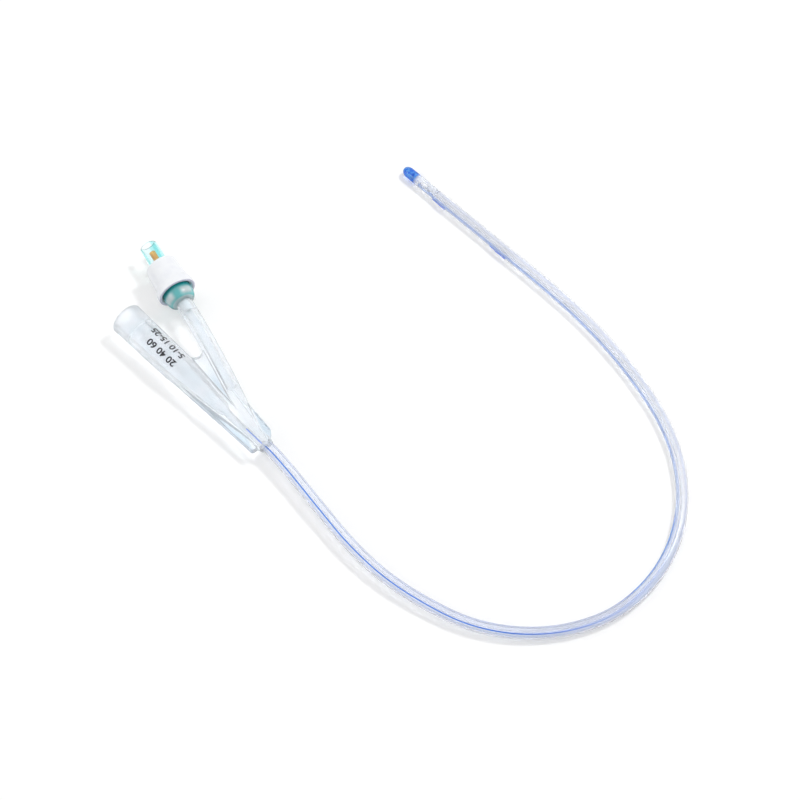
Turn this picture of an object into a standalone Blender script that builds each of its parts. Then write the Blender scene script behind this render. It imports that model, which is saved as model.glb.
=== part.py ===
"""Two-way balloon catheter: a moulded Y connector, a sprung inflation valve and a long soft shaft.

Metres, +Z up. +Y runs along the drainage funnel to its mouth, +X to the inflation arm's side.
The catheter lies on a table at z = 0, with its shaft in one open loop.
"""
import math

import bmesh
import bpy
from mathutils import Matrix, Vector

# Clearances and mesh fineness
GAP = 0.0003                    # between two pieces that touch or are bonded
ROUND_SIDES = 32
CORD_SIDES = 12
WIRE_SIDES = 8
CUT_PAST = 0.0010               # how far a cutter runs past the face it cuts

# Shaft and its two lumens
SHAFT_RADIUS = 0.0020
SHAFT_EXIT_HEIGHT = 0.00465     # of the shaft's axis where it leaves the connector
SHAFT_EXIT_SIDE = 0.0010        # of the shaft's axis from the funnel's axis, towards the arm
DRAIN_LUMEN_RADIUS = 0.00095
DRAIN_LUMEN_OFFSET = -0.00055   # from the shaft's axis
FILL_LUMEN_RADIUS = 0.0004
FILL_LUMEN_OFFSET = 0.00135
CORD_STEP = 0.0080              # between the points of the shaft's curve

# Drainage funnel
FUNNEL_LENGTH = 0.0648
FUNNEL_MOUTH_RADIUS = 0.00548
BARREL_RADIUS = 0.00516         # where the straight barrel meets the cone
BARREL_LENGTH = 0.0251
HUB_RADIUS = 0.00245            # round the shaft
CONE_POWER = 1.4                # how fast the cone slims to the hub
HUB_BEND_LENGTH = 0.0250        # over which the axis moves over to the shaft
MOUTH_WALL = 0.00213
CONE_WALL = 0.0017
BORE_LENGTH = 0.0461            # from the mouth to the neck
NECK_LENGTH = 0.0025
RIM_ROUND = 0.0006
RIM_BREAK = 0.0003

# Inflation arm
ARM_RADIUS = 0.0028
ARM_END_X = 0.0169
ARM_END_Y = 0.0557
ARM_YAW = math.radians(13.8)        # of the valve's axis, from the funnel's towards +X
ARM_ROOT_X = 0.0012
ARM_ROOT_Y = 0.0050
ARM_ROOT_YAW = math.radians(20.0)
ARM_BORE_RADIUS = 0.0009
ARM_BORE_END = 0.40             # share of the arm's path, from the root, where its wide bore ends

# Web between the arms, and its fins
WEB_THICKNESS = 0.0030
WEB_EDGE_ROUND = 0.0007
WEB_END = 0.0005                # from the connector's end face
LEFT_FIN_TOP = 0.0470
LEFT_FIN_END_X = -0.0037
FIN_CORNER = 0.0008
RIGHT_FIN_TOP = 0.0145
RIGHT_FIN_TOP_X = 0.0069
RIGHT_FIN_X = 0.0057
RIGHT_FIN_CORNER = 0.0025
CROTCH_Y = 0.0374               # lowest point of the rounded crotch between the arms

# Valve, along its axis: heights are measured from the arm's end, outwards to the mouth
VALVE_LENGTH = 0.0245
VALVE_RISE = math.radians(0.84)     # of the valve's mouth end
LUER_MOUTH_RADIUS = 0.00215
LUER_FLOOR_RADIUS = 0.00193
LUER_DEPTH = 0.0081
LUER_TUBE_RADIUS = 0.00287
LUER_TUBE_ROOT_RADIUS = 0.00303
SEAT_THICKNESS = 0.0018
SEAT_HOLE_RADIUS = 0.00135
CHAMBER_RADIUS = 0.0026
HOUSING_RADIUS = 0.0040
HOUSING_SHOULDER = 0.0090       # height of the shoulder that rests on the base's wall
SKIRT_RADIUS = 0.0034
SKIRT_LENGTH = 0.0026

COLLAR_BOTTOM = 0.0042
COLLAR_TOP = 0.0161
COLLAR_TOP_RADIUS = 0.00537
COLLAR_WAIST_RADIUS = 0.0057
COLLAR_FLANGE_RADIUS = 0.00645
COLLAR_FLARE_HEIGHT = 0.0026
COLLAR_FLANGE_HEIGHT = 0.0017
COLLAR_EDGE_ROUND = 0.0010
COLLAR_TOP_WEB = 0.0012

BASE_RADIUS = 0.00485
BASE_WALL = 0.00115
BASE_FLOOR = 0.0011
DOME_HEIGHT = 0.0028
DOME_END_RADIUS = 0.0033
STEM_RADIUS = 0.0016
STEM_LENGTH = 0.0040
STEM_BORE_RADIUS = 0.0006
SPRING_SEAT_RADIUS = 0.0022
SPRING_SEAT_HEIGHT = 0.0057
SPRING_SEAT_THICKNESS = 0.0006

PLUNGER_TOP = 0.0215
PLUNGER_RADIUS = 0.0010
PLUNGER_HEAD_RADIUS = 0.0022
PLUNGER_HEAD_THICKNESS = 0.0010
PLUNGER_TAIL_RADIUS = 0.0007
PLUNGER_TAIL_LENGTH = 0.0024
SEAL_RADIUS = 0.0021
SEAL_THICKNESS = 0.0012
SPRING_WIRE_RADIUS = 0.00018
SPRING_COIL_RADIUS = 0.0013
SPRING_TURNS = 5
SPRING_POINTS_PER_TURN = 14

# Tip and balloon, measured back along the shaft from the tip's end
TIP_LENGTH = 0.0146
TIP_RADIUS = 0.0018
TIP_NOSE_LENGTH = 0.0024
TIP_LUMEN_RADIUS = 0.0011
TIP_LUMEN_END = 0.0044
EYE_LENGTH = 0.0050
EYE_WIDTH = 0.0017
NEAR_EYE_CENTRE = 0.0076
FAR_EYE_CENTRE = 0.0108
EYE_ANGLE = math.radians(50.0)      # from straight up, to the loop's outer side
SLEEVE_LENGTH = 0.0361
SLEEVE_RADIUS = 0.00205             # of the free stretch that fills with water
SLEEVE_WALL = 0.00013
SLEEVE_BAND_RADIUS = 0.00223
NEAR_BAND_LENGTH = 0.0073
FAR_BAND_LENGTH = 0.0070

# The shaft's route over the table, from the connector to the tip: x and y from the connector's
# end face and funnel axis, z from the table. The last stretch is straight, for the balloon.
ROUTE = (
    (0.0010, -0.0003, 0.00465),
    (0.0010, -0.0040, 0.00461),
    (0.0001, -0.0135, 0.00450),
    (-0.0018, -0.0284, 0.00416),
    (-0.0034, -0.0433, 0.00374),
    (-0.0032, -0.0582, 0.00325),
    (-0.0004, -0.0730, 0.00275),
    (0.0046, -0.0872, 0.00236),
    (0.0131, -0.0995, 0.00212),
    (0.0246, -0.1090, 0.00202),
    (0.0386, -0.1148, 0.00200),
    (0.0537, -0.1154, 0.00200),
    (0.0682, -0.1114, 0.00200),
    (0.0808, -0.1033, 0.00200),
    (0.0908, -0.0922, 0.00200),
    (0.0979, -0.0790, 0.00200),
    (0.1024, -0.0646, 0.00202),
    (0.1053, -0.0499, 0.00208),
    (0.1069, -0.0350, 0.00213),
    (0.1073, -0.0200, 0.00220),
    (0.1071, -0.0060, 0.00223),
    (0.1066, 0.0202, 0.00223),
    (0.1061, 0.0464, 0.00223),
)


def start_empty_scene():
    """Remove what the scene holds and make the two collections."""
    for thing in list(bpy.data.objects):
        bpy.data.objects.remove(thing)
    collections = []
    for name in ("balloon_catheter", "cutters"):
        collection = bpy.data.collections.new(name)
        bpy.context.scene.collection.children.link(collection)
        collections.append(collection)
    return collections


PARTS, CUTTERS = start_empty_scene()


def material(name, colour, roughness, metallic=0.0):
    """A Principled material of one colour."""
    made = bpy.data.materials.new(name)
    made.use_nodes = True
    shader = made.node_tree.nodes["Principled BSDF"]
    shader.inputs["Base Color"].default_value = (*colour, 1.0)
    shader.inputs["Roughness"].default_value = roughness
    shader.inputs["Metallic"].default_value = metallic
    made.diffuse_color = (*colour, 1.0)
    return made


def frame_empty(name, parent, location, rotation=(0.0, 0.0, 0.0)):
    """An empty that carries the pieces of one frame."""
    empty = bpy.data.objects.new(name, None)
    empty.empty_display_size = 0.005
    empty.location = location
    empty.rotation_euler = rotation
    empty.parent = parent
    PARTS.objects.link(empty)
    return empty


def as_part(thing, parent, finish):
    """Put a mesh or curve object among the parts, under its frame."""
    PARTS.objects.link(thing)
    thing.parent = parent
    thing.data.materials.clear()
    thing.data.materials.append(finish)
    if thing.type == "MESH":
        thing.data.shade_smooth()
        thing.data.set_sharp_from_angle(angle=math.radians(35.0))
    return thing


def as_cutter(thing, parent):
    """Put a mesh object among the cutters, drawn as wire and left out of renders."""
    CUTTERS.objects.link(thing)
    thing.parent = parent
    thing.hide_render = True
    thing.display_type = "WIRE"
    return thing


def turned(name, profile, closed=True, sides=ROUND_SIDES):
    """Turn a profile of (radius, height) points round Z. A closed one goes round the section,
    an open one starts and ends on the axis, from the top down."""
    points = list(profile)
    if closed:
        twice_area = 0.0
        for (r1, h1), (r2, h2) in zip(points, points[1:] + points[:1]):
            twice_area += r1 * h2 - r2 * h1
        if twice_area > 0:
            points.reverse()
    edges = [(i, i + 1) for i in range(len(points) - 1)]
    if closed:
        edges.append((len(points) - 1, 0))
    mesh = bpy.data.meshes.new(name)
    mesh.from_pydata([(r, 0.0, h) for r, h in points], edges, [])
    thing = bpy.data.objects.new(name, mesh)
    screw = thing.modifiers.new("Turn", "SCREW")
    screw.axis = "Z"
    screw.angle = math.tau
    screw.steps = sides
    screw.render_steps = sides
    screw.use_merge_vertices = True
    screw.merge_threshold = 0.00001
    screw.use_smooth_shade = True
    return thing


def quarter(centre, radius, start, steps=4, turn=90.0):
    """Points of an arc in a profile or an outline, from the start angle in degrees."""
    x, y = centre
    angles = [math.radians(start + turn * i / steps) for i in range(steps + 1)]
    return [(x + radius * math.cos(a), y + radius * math.sin(a)) for a in angles]


def round_curve(name, points, radii, sides):
    """A curve object with a round section, whose radius is given at each point."""
    curve = bpy.data.curves.new(name, "CURVE")
    curve.dimensions = "3D"
    curve.bevel_depth = 1.0
    curve.bevel_resolution = (sides - 4) // 2
    curve.use_fill_caps = True
    spline = curve.splines.new("POLY")
    spline.points.add(len(points) - 1)
    for spot, place, radius in zip(spline.points, points, radii):
        spot.co = (*place, 1.0)
        spot.radius = radius
    spline.use_smooth = True
    return bpy.data.objects.new(name, curve)


def curve_as_mesh(curve_object):
    """Make a curve object a closed mesh object of the same name and place."""
    name = curve_object.name
    bpy.context.scene.collection.objects.link(curve_object)
    bpy.context.view_layer.update()
    evaluated = curve_object.evaluated_get(bpy.context.evaluated_depsgraph_get())
    mesh = bpy.data.meshes.new_from_object(evaluated)
    work = bmesh.new()
    work.from_mesh(mesh)
    bmesh.ops.remove_doubles(work, verts=work.verts, dist=0.000001)
    work.to_mesh(mesh)
    work.free()
    place = curve_object.matrix_world.copy()
    bpy.data.objects.remove(curve_object)
    thing = bpy.data.objects.new(name, mesh)
    thing.matrix_world = place
    return thing


def combine(thing, other, operation):
    """Join a solid to an object, or cut it out of the object."""
    boolean = thing.modifiers.new(operation.title() + " " + other.name, "BOOLEAN")
    boolean.operation = operation
    boolean.object = other
    boolean.solver = "EXACT"


def ease(value):
    """0 to 1 with level ends."""
    value = min(max(value, 0.0), 1.0)
    return value * value * (3.0 - 2.0 * value)


def quadratic(a, b, c, share):
    """A point on the quadratic curve from a to c with the handle b."""
    return a * (1 - share) ** 2 + b * (2 * share * (1 - share)) + c * share ** 2


# Derived places. The connector is drawn in its moulding plane, which lies in the funnel's and
# the arm's axes. That plane tilts so that the funnel's mouth rests on the table.
PLANE_TILT = math.asin((FUNNEL_MOUTH_RADIUS - SHAFT_EXIT_HEIGHT) / FUNNEL_LENGTH)
CONE_LENGTH = FUNNEL_LENGTH - BARREL_LENGTH
NECK_Y = FUNNEL_LENGTH - BORE_LENGTH
FLANGE_MIDDLE = COLLAR_BOTTOM + COLLAR_FLANGE_HEIGHT / 2
ARM_END_HEIGHT = COLLAR_FLANGE_RADIUS * math.cos(VALVE_RISE) - FLANGE_MIDDLE * math.sin(VALVE_RISE)
ARM_RISE = ARM_END_HEIGHT - SHAFT_EXIT_HEIGHT - ARM_END_Y * math.tan(PLANE_TILT)

# The row's origin is under the middle of the connector and its valve.
SHOULDER_HEIGHT = COLLAR_TOP - COLLAR_EDGE_ROUND
REACH_X = (ARM_END_X + math.sin(ARM_YAW) * SHOULDER_HEIGHT + COLLAR_TOP_RADIUS * math.cos(ARM_YAW))
REACH_Y = (ARM_END_Y + math.cos(ARM_YAW) * VALVE_LENGTH
           + (LUER_TUBE_RADIUS - RIM_BREAK) * math.sin(ARM_YAW))
DATUM = Vector((-(REACH_X - FUNNEL_MOUTH_RADIUS) / 2, -REACH_Y / 2, 0.0))

datum = frame_empty("datum", None, DATUM)
moulding_plane = frame_empty("moulding_plane", datum, (0.0, 0.0, SHAFT_EXIT_HEIGHT),
                             (PLANE_TILT, 0.0, 0.0))
valve_axis = frame_empty("valve_axis", datum, (ARM_END_X, ARM_END_Y, ARM_END_HEIGHT),
                         (VALVE_RISE - math.pi / 2, 0.0, -ARM_YAW))

clear_silicone = material("clear_silicone", (0.86, 0.89, 0.93), 0.35)
shaft_silicone = material("shaft_silicone", (0.80, 0.83, 0.94), 0.30)
blue_silicone = material("blue_silicone", (0.03, 0.12, 0.72), 0.30)
white_plastic = material("white_plastic", (0.86, 0.87, 0.90), 0.40)
teal_plastic = material("teal_plastic", (0.10, 0.62, 0.62), 0.15)
amber_plastic = material("amber_plastic", (0.66, 0.32, 0.06), 0.30)
seal_rubber = material("seal_rubber", (0.12, 0.12, 0.13), 0.60)
spring_steel = material("spring_steel", (0.62, 0.62, 0.64), 0.25, 1.0)


# Connector
def funnel_radius(y):
    """Outer radius of the funnel at a distance from the connector's end face."""
    if y >= CONE_LENGTH:
        share = (y - CONE_LENGTH) / BARREL_LENGTH
        return BARREL_RADIUS + (FUNNEL_MOUTH_RADIUS - BARREL_RADIUS) * share
    return HUB_RADIUS + (BARREL_RADIUS - HUB_RADIUS) * (y / CONE_LENGTH) ** CONE_POWER


def funnel_side(y):
    """How far the funnel's axis has moved over towards the shaft's."""
    return SHAFT_EXIT_SIDE * ease(1.0 - y / HUB_BEND_LENGTH)


def bore_radius(y):
    """Inner radius of the funnel between its neck and its mouth."""
    share = (y - NECK_Y) / BORE_LENGTH
    return funnel_radius(y) - (CONE_WALL + (MOUTH_WALL - CONE_WALL) * share)


def arm_path(shares, rise=True):
    """Points on the arm's axis, from its root in the hub to its end at the valve."""
    root = Vector((ARM_ROOT_X, ARM_ROOT_Y, 0.0))
    end = Vector((ARM_END_X, ARM_END_Y, 0.0))
    end_way = Vector((math.sin(ARM_YAW), math.cos(ARM_YAW), 0.0))
    root_way = Vector((math.sin(ARM_ROOT_YAW), math.cos(ARM_ROOT_YAW), 0.0))
    across = end - root
    cross = root_way.x * end_way.y - root_way.y * end_way.x
    reach = (across.x * end_way.y - across.y * end_way.x) / cross
    handle = root + root_way * reach
    points = [quadratic(root, handle, end, share) for share in shares]
    if rise:
        for point, share in zip(points, shares):
            point.z = ARM_RISE * ease((share - 0.25) / 0.75)
    return points


def make_funnel():
    """The funnel's outer form, from its rounded rim down the barrel and cone to the hub."""
    rim = quarter((FUNNEL_LENGTH - RIM_ROUND, FUNNEL_MOUTH_RADIUS - RIM_ROUND), RIM_ROUND, 0.0, 3)
    stations = [(y, radius) for y, radius in rim]
    stations.append((CONE_LENGTH, BARREL_RADIUS))
    for share in (0.88, 0.76, 0.64, 0.52, 0.40, 0.30, 0.20, 0.10, 0.04, 0.0):
        y = CONE_LENGTH * share
        stations.append((y, funnel_radius(y)))
    points = [(funnel_side(y), y, 0.0) for y, _ in stations]
    radii = [radius for _, radius in stations]
    return curve_as_mesh(round_curve("funnel_body", points, radii, ROUND_SIDES))


def make_arm():
    """The arm's outer form, slimmer where it merges into the hub."""
    shares = [i / 12 for i in range(13)]
    radii = [HUB_RADIUS + (ARM_RADIUS - HUB_RADIUS) * ease(share / 0.4) for share in shares]
    points = arm_path(shares)
    points[-1] -= (points[-1] - points[-2]).normalized() * GAP
    return curve_as_mesh(round_curve("arm_form", points, radii, ROUND_SIDES))


def crotch_gap(y):
    """The gap between the funnel's side and the arm's side at a height up the crotch."""
    path = arm_path([i / 40 for i in range(41)], rise=False)
    for low, high in zip(path, path[1:]):
        if low.y <= y <= high.y:
            centre = low.x + (high.x - low.x) * (y - low.y) / (high.y - low.y)
            lean = (high - low).length / (high.y - low.y)
            return centre - ARM_RADIUS * lean - funnel_radius(y)
    return 0.0


def make_web():
    """The flat web between the arms with a fin on each side, as a rounded plate."""
    notch_depth = crotch_gap(CROTCH_Y) / 2
    crotch_top = CROTCH_Y + notch_depth
    half_gap = crotch_gap(crotch_top) / 2 + GAP
    middle = funnel_radius(crotch_top) + half_gap - GAP
    notch = [(middle + half_gap * x, crotch_top + notch_depth * y)
             for x, y in quarter((0.0, 0.0), 1.0, 0.0, 8, -180.0)]
    arm_points = arm_path([0.35, 0.50, 0.60], rise=False)
    outline = [(LEFT_FIN_END_X + FIN_CORNER, WEB_END)]
    corner = (RIGHT_FIN_X - RIGHT_FIN_CORNER, WEB_END + RIGHT_FIN_CORNER)
    outline += quarter(corner, RIGHT_FIN_CORNER, -90.0, 4)
    outline.append((RIGHT_FIN_TOP_X, RIGHT_FIN_TOP))
    outline += [(point.x, point.y) for point in arm_points]
    outline += notch
    outline.append((0.0, crotch_top))
    outline.append((0.0, LEFT_FIN_TOP))
    outline.append((-funnel_radius(LEFT_FIN_TOP) + WEB_EDGE_ROUND / 2, LEFT_FIN_TOP))
    corner = (LEFT_FIN_END_X + FIN_CORNER, WEB_END + FIN_CORNER)
    outline += quarter(corner, FIN_CORNER, 180.0, 2, 90.0)[:-1]
    curve = bpy.data.curves.new("web_form", "CURVE")
    curve.dimensions = "2D"
    curve.fill_mode = "BOTH"
    curve.extrude = WEB_THICKNESS / 2 - WEB_EDGE_ROUND
    curve.bevel_depth = WEB_EDGE_ROUND
    curve.bevel_resolution = 1
    curve.offset = -WEB_EDGE_ROUND
    spline = curve.splines.new("POLY")
    spline.points.add(len(outline) - 1)
    for spot, (x, y) in zip(spline.points, outline):
        spot.co = (x, y, 0.0, 1.0)
    spline.use_cyclic_u = True
    return curve_as_mesh(bpy.data.objects.new("web_form", curve))


def make_drain_bore():
    """The drainage way: wide from the mouth to the neck, then the shaft's own lumen."""
    beyond = FUNNEL_LENGTH + CUT_PAST
    mouth = bore_radius(FUNNEL_LENGTH)
    stations = [(beyond, 0.0, mouth + RIM_BREAK), (FUNNEL_LENGTH, 0.0, mouth + RIM_BREAK),
                (FUNNEL_LENGTH - RIM_BREAK, 0.0, mouth)]
    for share in (0.75, 0.45, 0.30, 0.15, 0.0):
        y = NECK_Y + (BORE_LENGTH - RIM_BREAK) * share
        stations.append((y, 0.0, bore_radius(y)))
    narrow = NECK_Y - NECK_LENGTH
    for y in (narrow, narrow * 0.65, narrow * 0.35, 0.0, -CUT_PAST):
        side = funnel_side(y) + DRAIN_LUMEN_OFFSET * ease((NECK_Y - y) / NECK_Y * 2.0)
        stations.append((y, side, DRAIN_LUMEN_RADIUS))
    points = [(side, y, 0.0) for y, side, _ in stations]
    radii = [radius for _, _, radius in stations]
    return curve_as_mesh(round_curve("drain_bore", points, radii, 24))


def make_fill_bore():
    """The filling way: the arm's bore, then the fine channel to the shaft's small lumen."""
    step = (1.0 - ARM_BORE_END) / 5
    shares = [1.0 - step * i for i in range(6)]
    points = arm_path(shares)
    outward = (points[0] - points[1]).normalized()
    points.insert(0, points[0] + outward * CUT_PAST)
    radii = [ARM_BORE_RADIUS] * len(points)
    last = points[-1]
    channel_x = SHAFT_EXIT_SIDE + FILL_LUMEN_OFFSET
    towards = Vector((channel_x - last.x, -last.y, -last.z)).normalized()
    fine = last + towards * (ARM_BORE_RADIUS - FILL_LUMEN_RADIUS)
    points += [fine, Vector((channel_x, 0.0, 0.0)), Vector((channel_x, -CUT_PAST, 0.0))]
    radii += [FILL_LUMEN_RADIUS] * 3
    return curve_as_mesh(round_curve("fill_bore", points, radii, 12))


def make_stem_socket():
    """The socket in the arm's end that takes the valve's stem."""
    depth = STEM_LENGTH + GAP
    bpy.ops.mesh.primitive_cylinder_add(vertices=ROUND_SIDES, radius=STEM_RADIUS + GAP,
                                        depth=depth + CUT_PAST, end_fill_type="NGON")
    socket = bpy.context.object
    socket.name = "stem_socket"
    socket.data.transform(Matrix.Translation((0.0, 0.0, (CUT_PAST - depth) / 2)))
    for collection in list(socket.users_collection):
        collection.objects.unlink(socket)
    return socket


def make_connector():
    """The one-piece Y connector with its drainage and filling ways."""
    body = make_funnel()
    for form in (make_arm(), make_web()):
        combine(body, as_cutter(form, moulding_plane), "UNION")
    for way in (make_drain_bore(), make_fill_bore()):
        combine(body, as_cutter(way, moulding_plane), "DIFFERENCE")
    combine(body, as_cutter(make_stem_socket(), valve_axis), "DIFFERENCE")
    return as_part(body, moulding_plane, clear_silicone)


make_connector()


# Valve
def make_housing():
    """The valve's clear tube: luer socket, seat, chamber, shoulder and skirt."""
    mouth = VALVE_LENGTH
    floor = mouth - LUER_DEPTH
    seat = floor - SEAT_THICKNESS
    shoulder_top = COLLAR_TOP - COLLAR_TOP_WEB - GAP
    skirt_end = HOUSING_SHOULDER - SKIRT_LENGTH
    profile = [(LUER_TUBE_RADIUS - RIM_BREAK, mouth)]
    profile.append((LUER_TUBE_RADIUS, mouth - RIM_BREAK))
    profile.append((LUER_TUBE_ROOT_RADIUS, shoulder_top))
    profile.append((HOUSING_RADIUS, shoulder_top))
    profile.append((HOUSING_RADIUS, HOUSING_SHOULDER))
    profile.append((SKIRT_RADIUS, HOUSING_SHOULDER))
    profile.append((SKIRT_RADIUS, skirt_end))
    profile.append((CHAMBER_RADIUS, skirt_end))
    profile.append((CHAMBER_RADIUS, seat))
    profile.append((SEAT_HOLE_RADIUS, seat))
    profile.append((SEAT_HOLE_RADIUS, floor))
    profile.append((LUER_FLOOR_RADIUS, floor))
    profile.append((LUER_MOUTH_RADIUS, mouth))
    return as_part(turned("valve_housing", profile), valve_axis, teal_plastic)


def make_collar():
    """The opaque coloured collar, with a flange that flares out over the base."""
    rise = COLLAR_EDGE_ROUND
    profile = quarter((COLLAR_TOP_RADIUS - rise, COLLAR_TOP - rise), rise, 90.0, 4, -90.0)
    waist = COLLAR_BOTTOM + COLLAR_FLANGE_HEIGHT + COLLAR_FLARE_HEIGHT
    flange_top = COLLAR_BOTTOM + COLLAR_FLANGE_HEIGHT
    profile.append((COLLAR_WAIST_RADIUS, waist))
    spread = COLLAR_FLANGE_RADIUS - COLLAR_WAIST_RADIUS
    for share in (0.3, 0.6, 0.85):
        height = waist - COLLAR_FLARE_HEIGHT * share
        profile.append((COLLAR_WAIST_RADIUS + spread * ease(share), height))
    profile.append((COLLAR_FLANGE_RADIUS, flange_top))
    edge = COLLAR_EDGE_ROUND / 3
    profile += quarter((COLLAR_FLANGE_RADIUS - edge, COLLAR_BOTTOM + edge), edge, 0.0, 3, -90.0)
    base_bore = BASE_RADIUS + GAP
    profile.append((base_bore, COLLAR_BOTTOM))
    profile.append((base_bore, HOUSING_SHOULDER))
    profile.append((HOUSING_RADIUS + GAP, HOUSING_SHOULDER))
    profile.append((HOUSING_RADIUS + GAP, COLLAR_TOP - COLLAR_TOP_WEB))
    profile.append((LUER_TUBE_ROOT_RADIUS + GAP, COLLAR_TOP - COLLAR_TOP_WEB))
    profile.append((LUER_TUBE_ROOT_RADIUS + GAP, COLLAR_TOP))
    return as_part(turned("colour_collar", profile), valve_axis, white_plastic)


def make_base():
    """The domed base: a thin shell with a hollow post that ends in the stem."""
    wall = BASE_RADIUS - BASE_WALL
    top = HOUSING_SHOULDER - GAP
    post = STEM_RADIUS
    stem_end = -STEM_LENGTH
    seat_under = SPRING_SEAT_HEIGHT - SPRING_SEAT_THICKNESS
    dome_width = BASE_RADIUS - DOME_END_RADIUS
    profile = [(wall, top), (BASE_RADIUS, top)]
    for i in range(6):
        angle = math.radians(90.0 * i / 5)
        radius = DOME_END_RADIUS + dome_width * math.cos(angle)
        profile.append((radius, DOME_HEIGHT * (1.0 - math.sin(angle))))
    profile += [(post, 0.0), (post, stem_end + RIM_BREAK), (post - RIM_BREAK, stem_end)]
    profile += [(STEM_BORE_RADIUS, stem_end), (STEM_BORE_RADIUS, SPRING_SEAT_HEIGHT)]
    profile += [(SPRING_SEAT_RADIUS, SPRING_SEAT_HEIGHT), (SPRING_SEAT_RADIUS, seat_under)]
    profile.append((post, seat_under))
    inner_width = wall - DOME_END_RADIUS + BASE_WALL / 2
    profile.append((post, BASE_FLOOR))
    for i in range(5):
        angle = math.radians(90.0 * (4 - i) / 4)
        radius = wall - inner_width * (1.0 - math.cos(angle))
        profile.append((radius, BASE_FLOOR + (DOME_HEIGHT - BASE_FLOOR / 2) * (1.0 - math.sin(angle))))
    return as_part(turned("valve_base", profile), valve_axis, teal_plastic)


SEAT_HEIGHT = VALVE_LENGTH - LUER_DEPTH - SEAT_THICKNESS
SEAL_TOP = SEAT_HEIGHT - GAP
HEAD_TOP = SEAL_TOP - SEAL_THICKNESS - GAP
HEAD_BOTTOM = HEAD_TOP - PLUNGER_HEAD_THICKNESS


def make_plunger():
    """The plunger: a rod that a syringe's nose pushes in, with a head under the seal."""
    tail_end = HEAD_BOTTOM - PLUNGER_TAIL_LENGTH
    round_top = PLUNGER_RADIUS * 0.3
    profile = [(0.0, PLUNGER_TOP), (PLUNGER_RADIUS - round_top, PLUNGER_TOP)]
    profile.append((PLUNGER_RADIUS, PLUNGER_TOP - round_top))
    profile.append((PLUNGER_RADIUS, HEAD_TOP))
    profile.append((PLUNGER_HEAD_RADIUS, HEAD_TOP))
    profile.append((PLUNGER_HEAD_RADIUS, HEAD_BOTTOM))
    profile.append((PLUNGER_TAIL_RADIUS, HEAD_BOTTOM))
    profile.append((PLUNGER_TAIL_RADIUS, tail_end + PLUNGER_TAIL_RADIUS / 2))
    profile.append((PLUNGER_TAIL_RADIUS / 2, tail_end))
    profile.append((0.0, tail_end))
    thing = turned("valve_plunger", profile, closed=False, sides=24)
    return as_part(thing, valve_axis, amber_plastic)


def make_seal():
    """The soft ring that the plunger's head presses on the seat."""
    inner = PLUNGER_RADIUS + GAP
    soft = SEAL_THICKNESS / 4
    low = SEAL_TOP - SEAL_THICKNESS
    profile = [(inner, SEAL_TOP), (SEAL_RADIUS - soft, SEAL_TOP), (SEAL_RADIUS, SEAL_TOP - soft)]
    profile += [(SEAL_RADIUS, low + soft), (SEAL_RADIUS - soft, low), (inner, low)]
    return as_part(turned("valve_seal", profile, sides=24), valve_axis, seal_rubber)


def make_spring():
    """The spring between the base's seat and the plunger's head."""
    bottom = SPRING_SEAT_HEIGHT + GAP + SPRING_WIRE_RADIUS
    top = HEAD_BOTTOM - GAP - SPRING_WIRE_RADIUS
    count = SPRING_TURNS * SPRING_POINTS_PER_TURN
    points = []
    for i in range(count + 1):
        share = i / count
        angle = math.tau * SPRING_TURNS * share
        level = bottom + (top - bottom) * share
        points.append((SPRING_COIL_RADIUS * math.cos(angle), SPRING_COIL_RADIUS * math.sin(angle), level))
    thing = round_curve("valve_spring", points, [SPRING_WIRE_RADIUS] * len(points), WIRE_SIDES)
    return as_part(thing, valve_axis, spring_steel)


make_housing()
make_collar()
make_base()
make_plunger()
make_seal()
make_spring()


# Shaft, balloon and tip
def smooth_route(points, samples=24):
    """A fine line through the route's points, smooth at each of them."""
    spots = [Vector(point) for point in points]
    spots = [spots[0] * 2 - spots[1]] + spots + [spots[-1] * 2 - spots[-2]]
    line = []
    for before, start, end, after in zip(spots, spots[1:], spots[2:], spots[3:]):
        span = (end - start).length
        leave = (end - before) * (span / ((end - start).length + (start - before).length))
        arrive = (after - start) * (span / ((end - start).length + (after - end).length))
        for i in range(samples):
            t = i / samples
            line.append(start * (2 * t ** 3 - 3 * t ** 2 + 1) + leave * (t ** 3 - 2 * t ** 2 + t)
                        + end * (3 * t ** 2 - 2 * t ** 3) + arrive * (t ** 3 - t ** 2))
    line.append(spots[-2])
    return line


def lengths_along(line):
    """The length along a line at each of its points."""
    lengths = [0.0]
    for start, end in zip(line, line[1:]):
        lengths.append(lengths[-1] + (end - start).length)
    return lengths


LINE = smooth_route(ROUTE)
LENGTHS = lengths_along(LINE)
ROUTE_LENGTH = LENGTHS[-1]


def place_at(length):
    """The point of the route at a length from the connector."""
    for i in range(len(LINE) - 1):
        if LENGTHS[i + 1] >= length:
            share = (length - LENGTHS[i]) / (LENGTHS[i + 1] - LENGTHS[i])
            return LINE[i].lerp(LINE[i + 1], share)
    return LINE[-1]


SHAFT_END = ROUTE_LENGTH - TIP_LENGTH - GAP
SLEEVE_START = SHAFT_END - SLEEVE_LENGTH
SLEEVE_BORE_RADIUS = SLEEVE_RADIUS - SLEEVE_WALL
CORE_RADIUS = SLEEVE_BORE_RADIUS - GAP


def axis_frame(name, back, front):
    """An empty at one point of the route whose Z looks along the route to another."""
    start, end = place_at(back), place_at(front)
    turn = (end - start).to_track_quat("Z", "Y").to_euler()
    return frame_empty(name, datum, start, turn)


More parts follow.
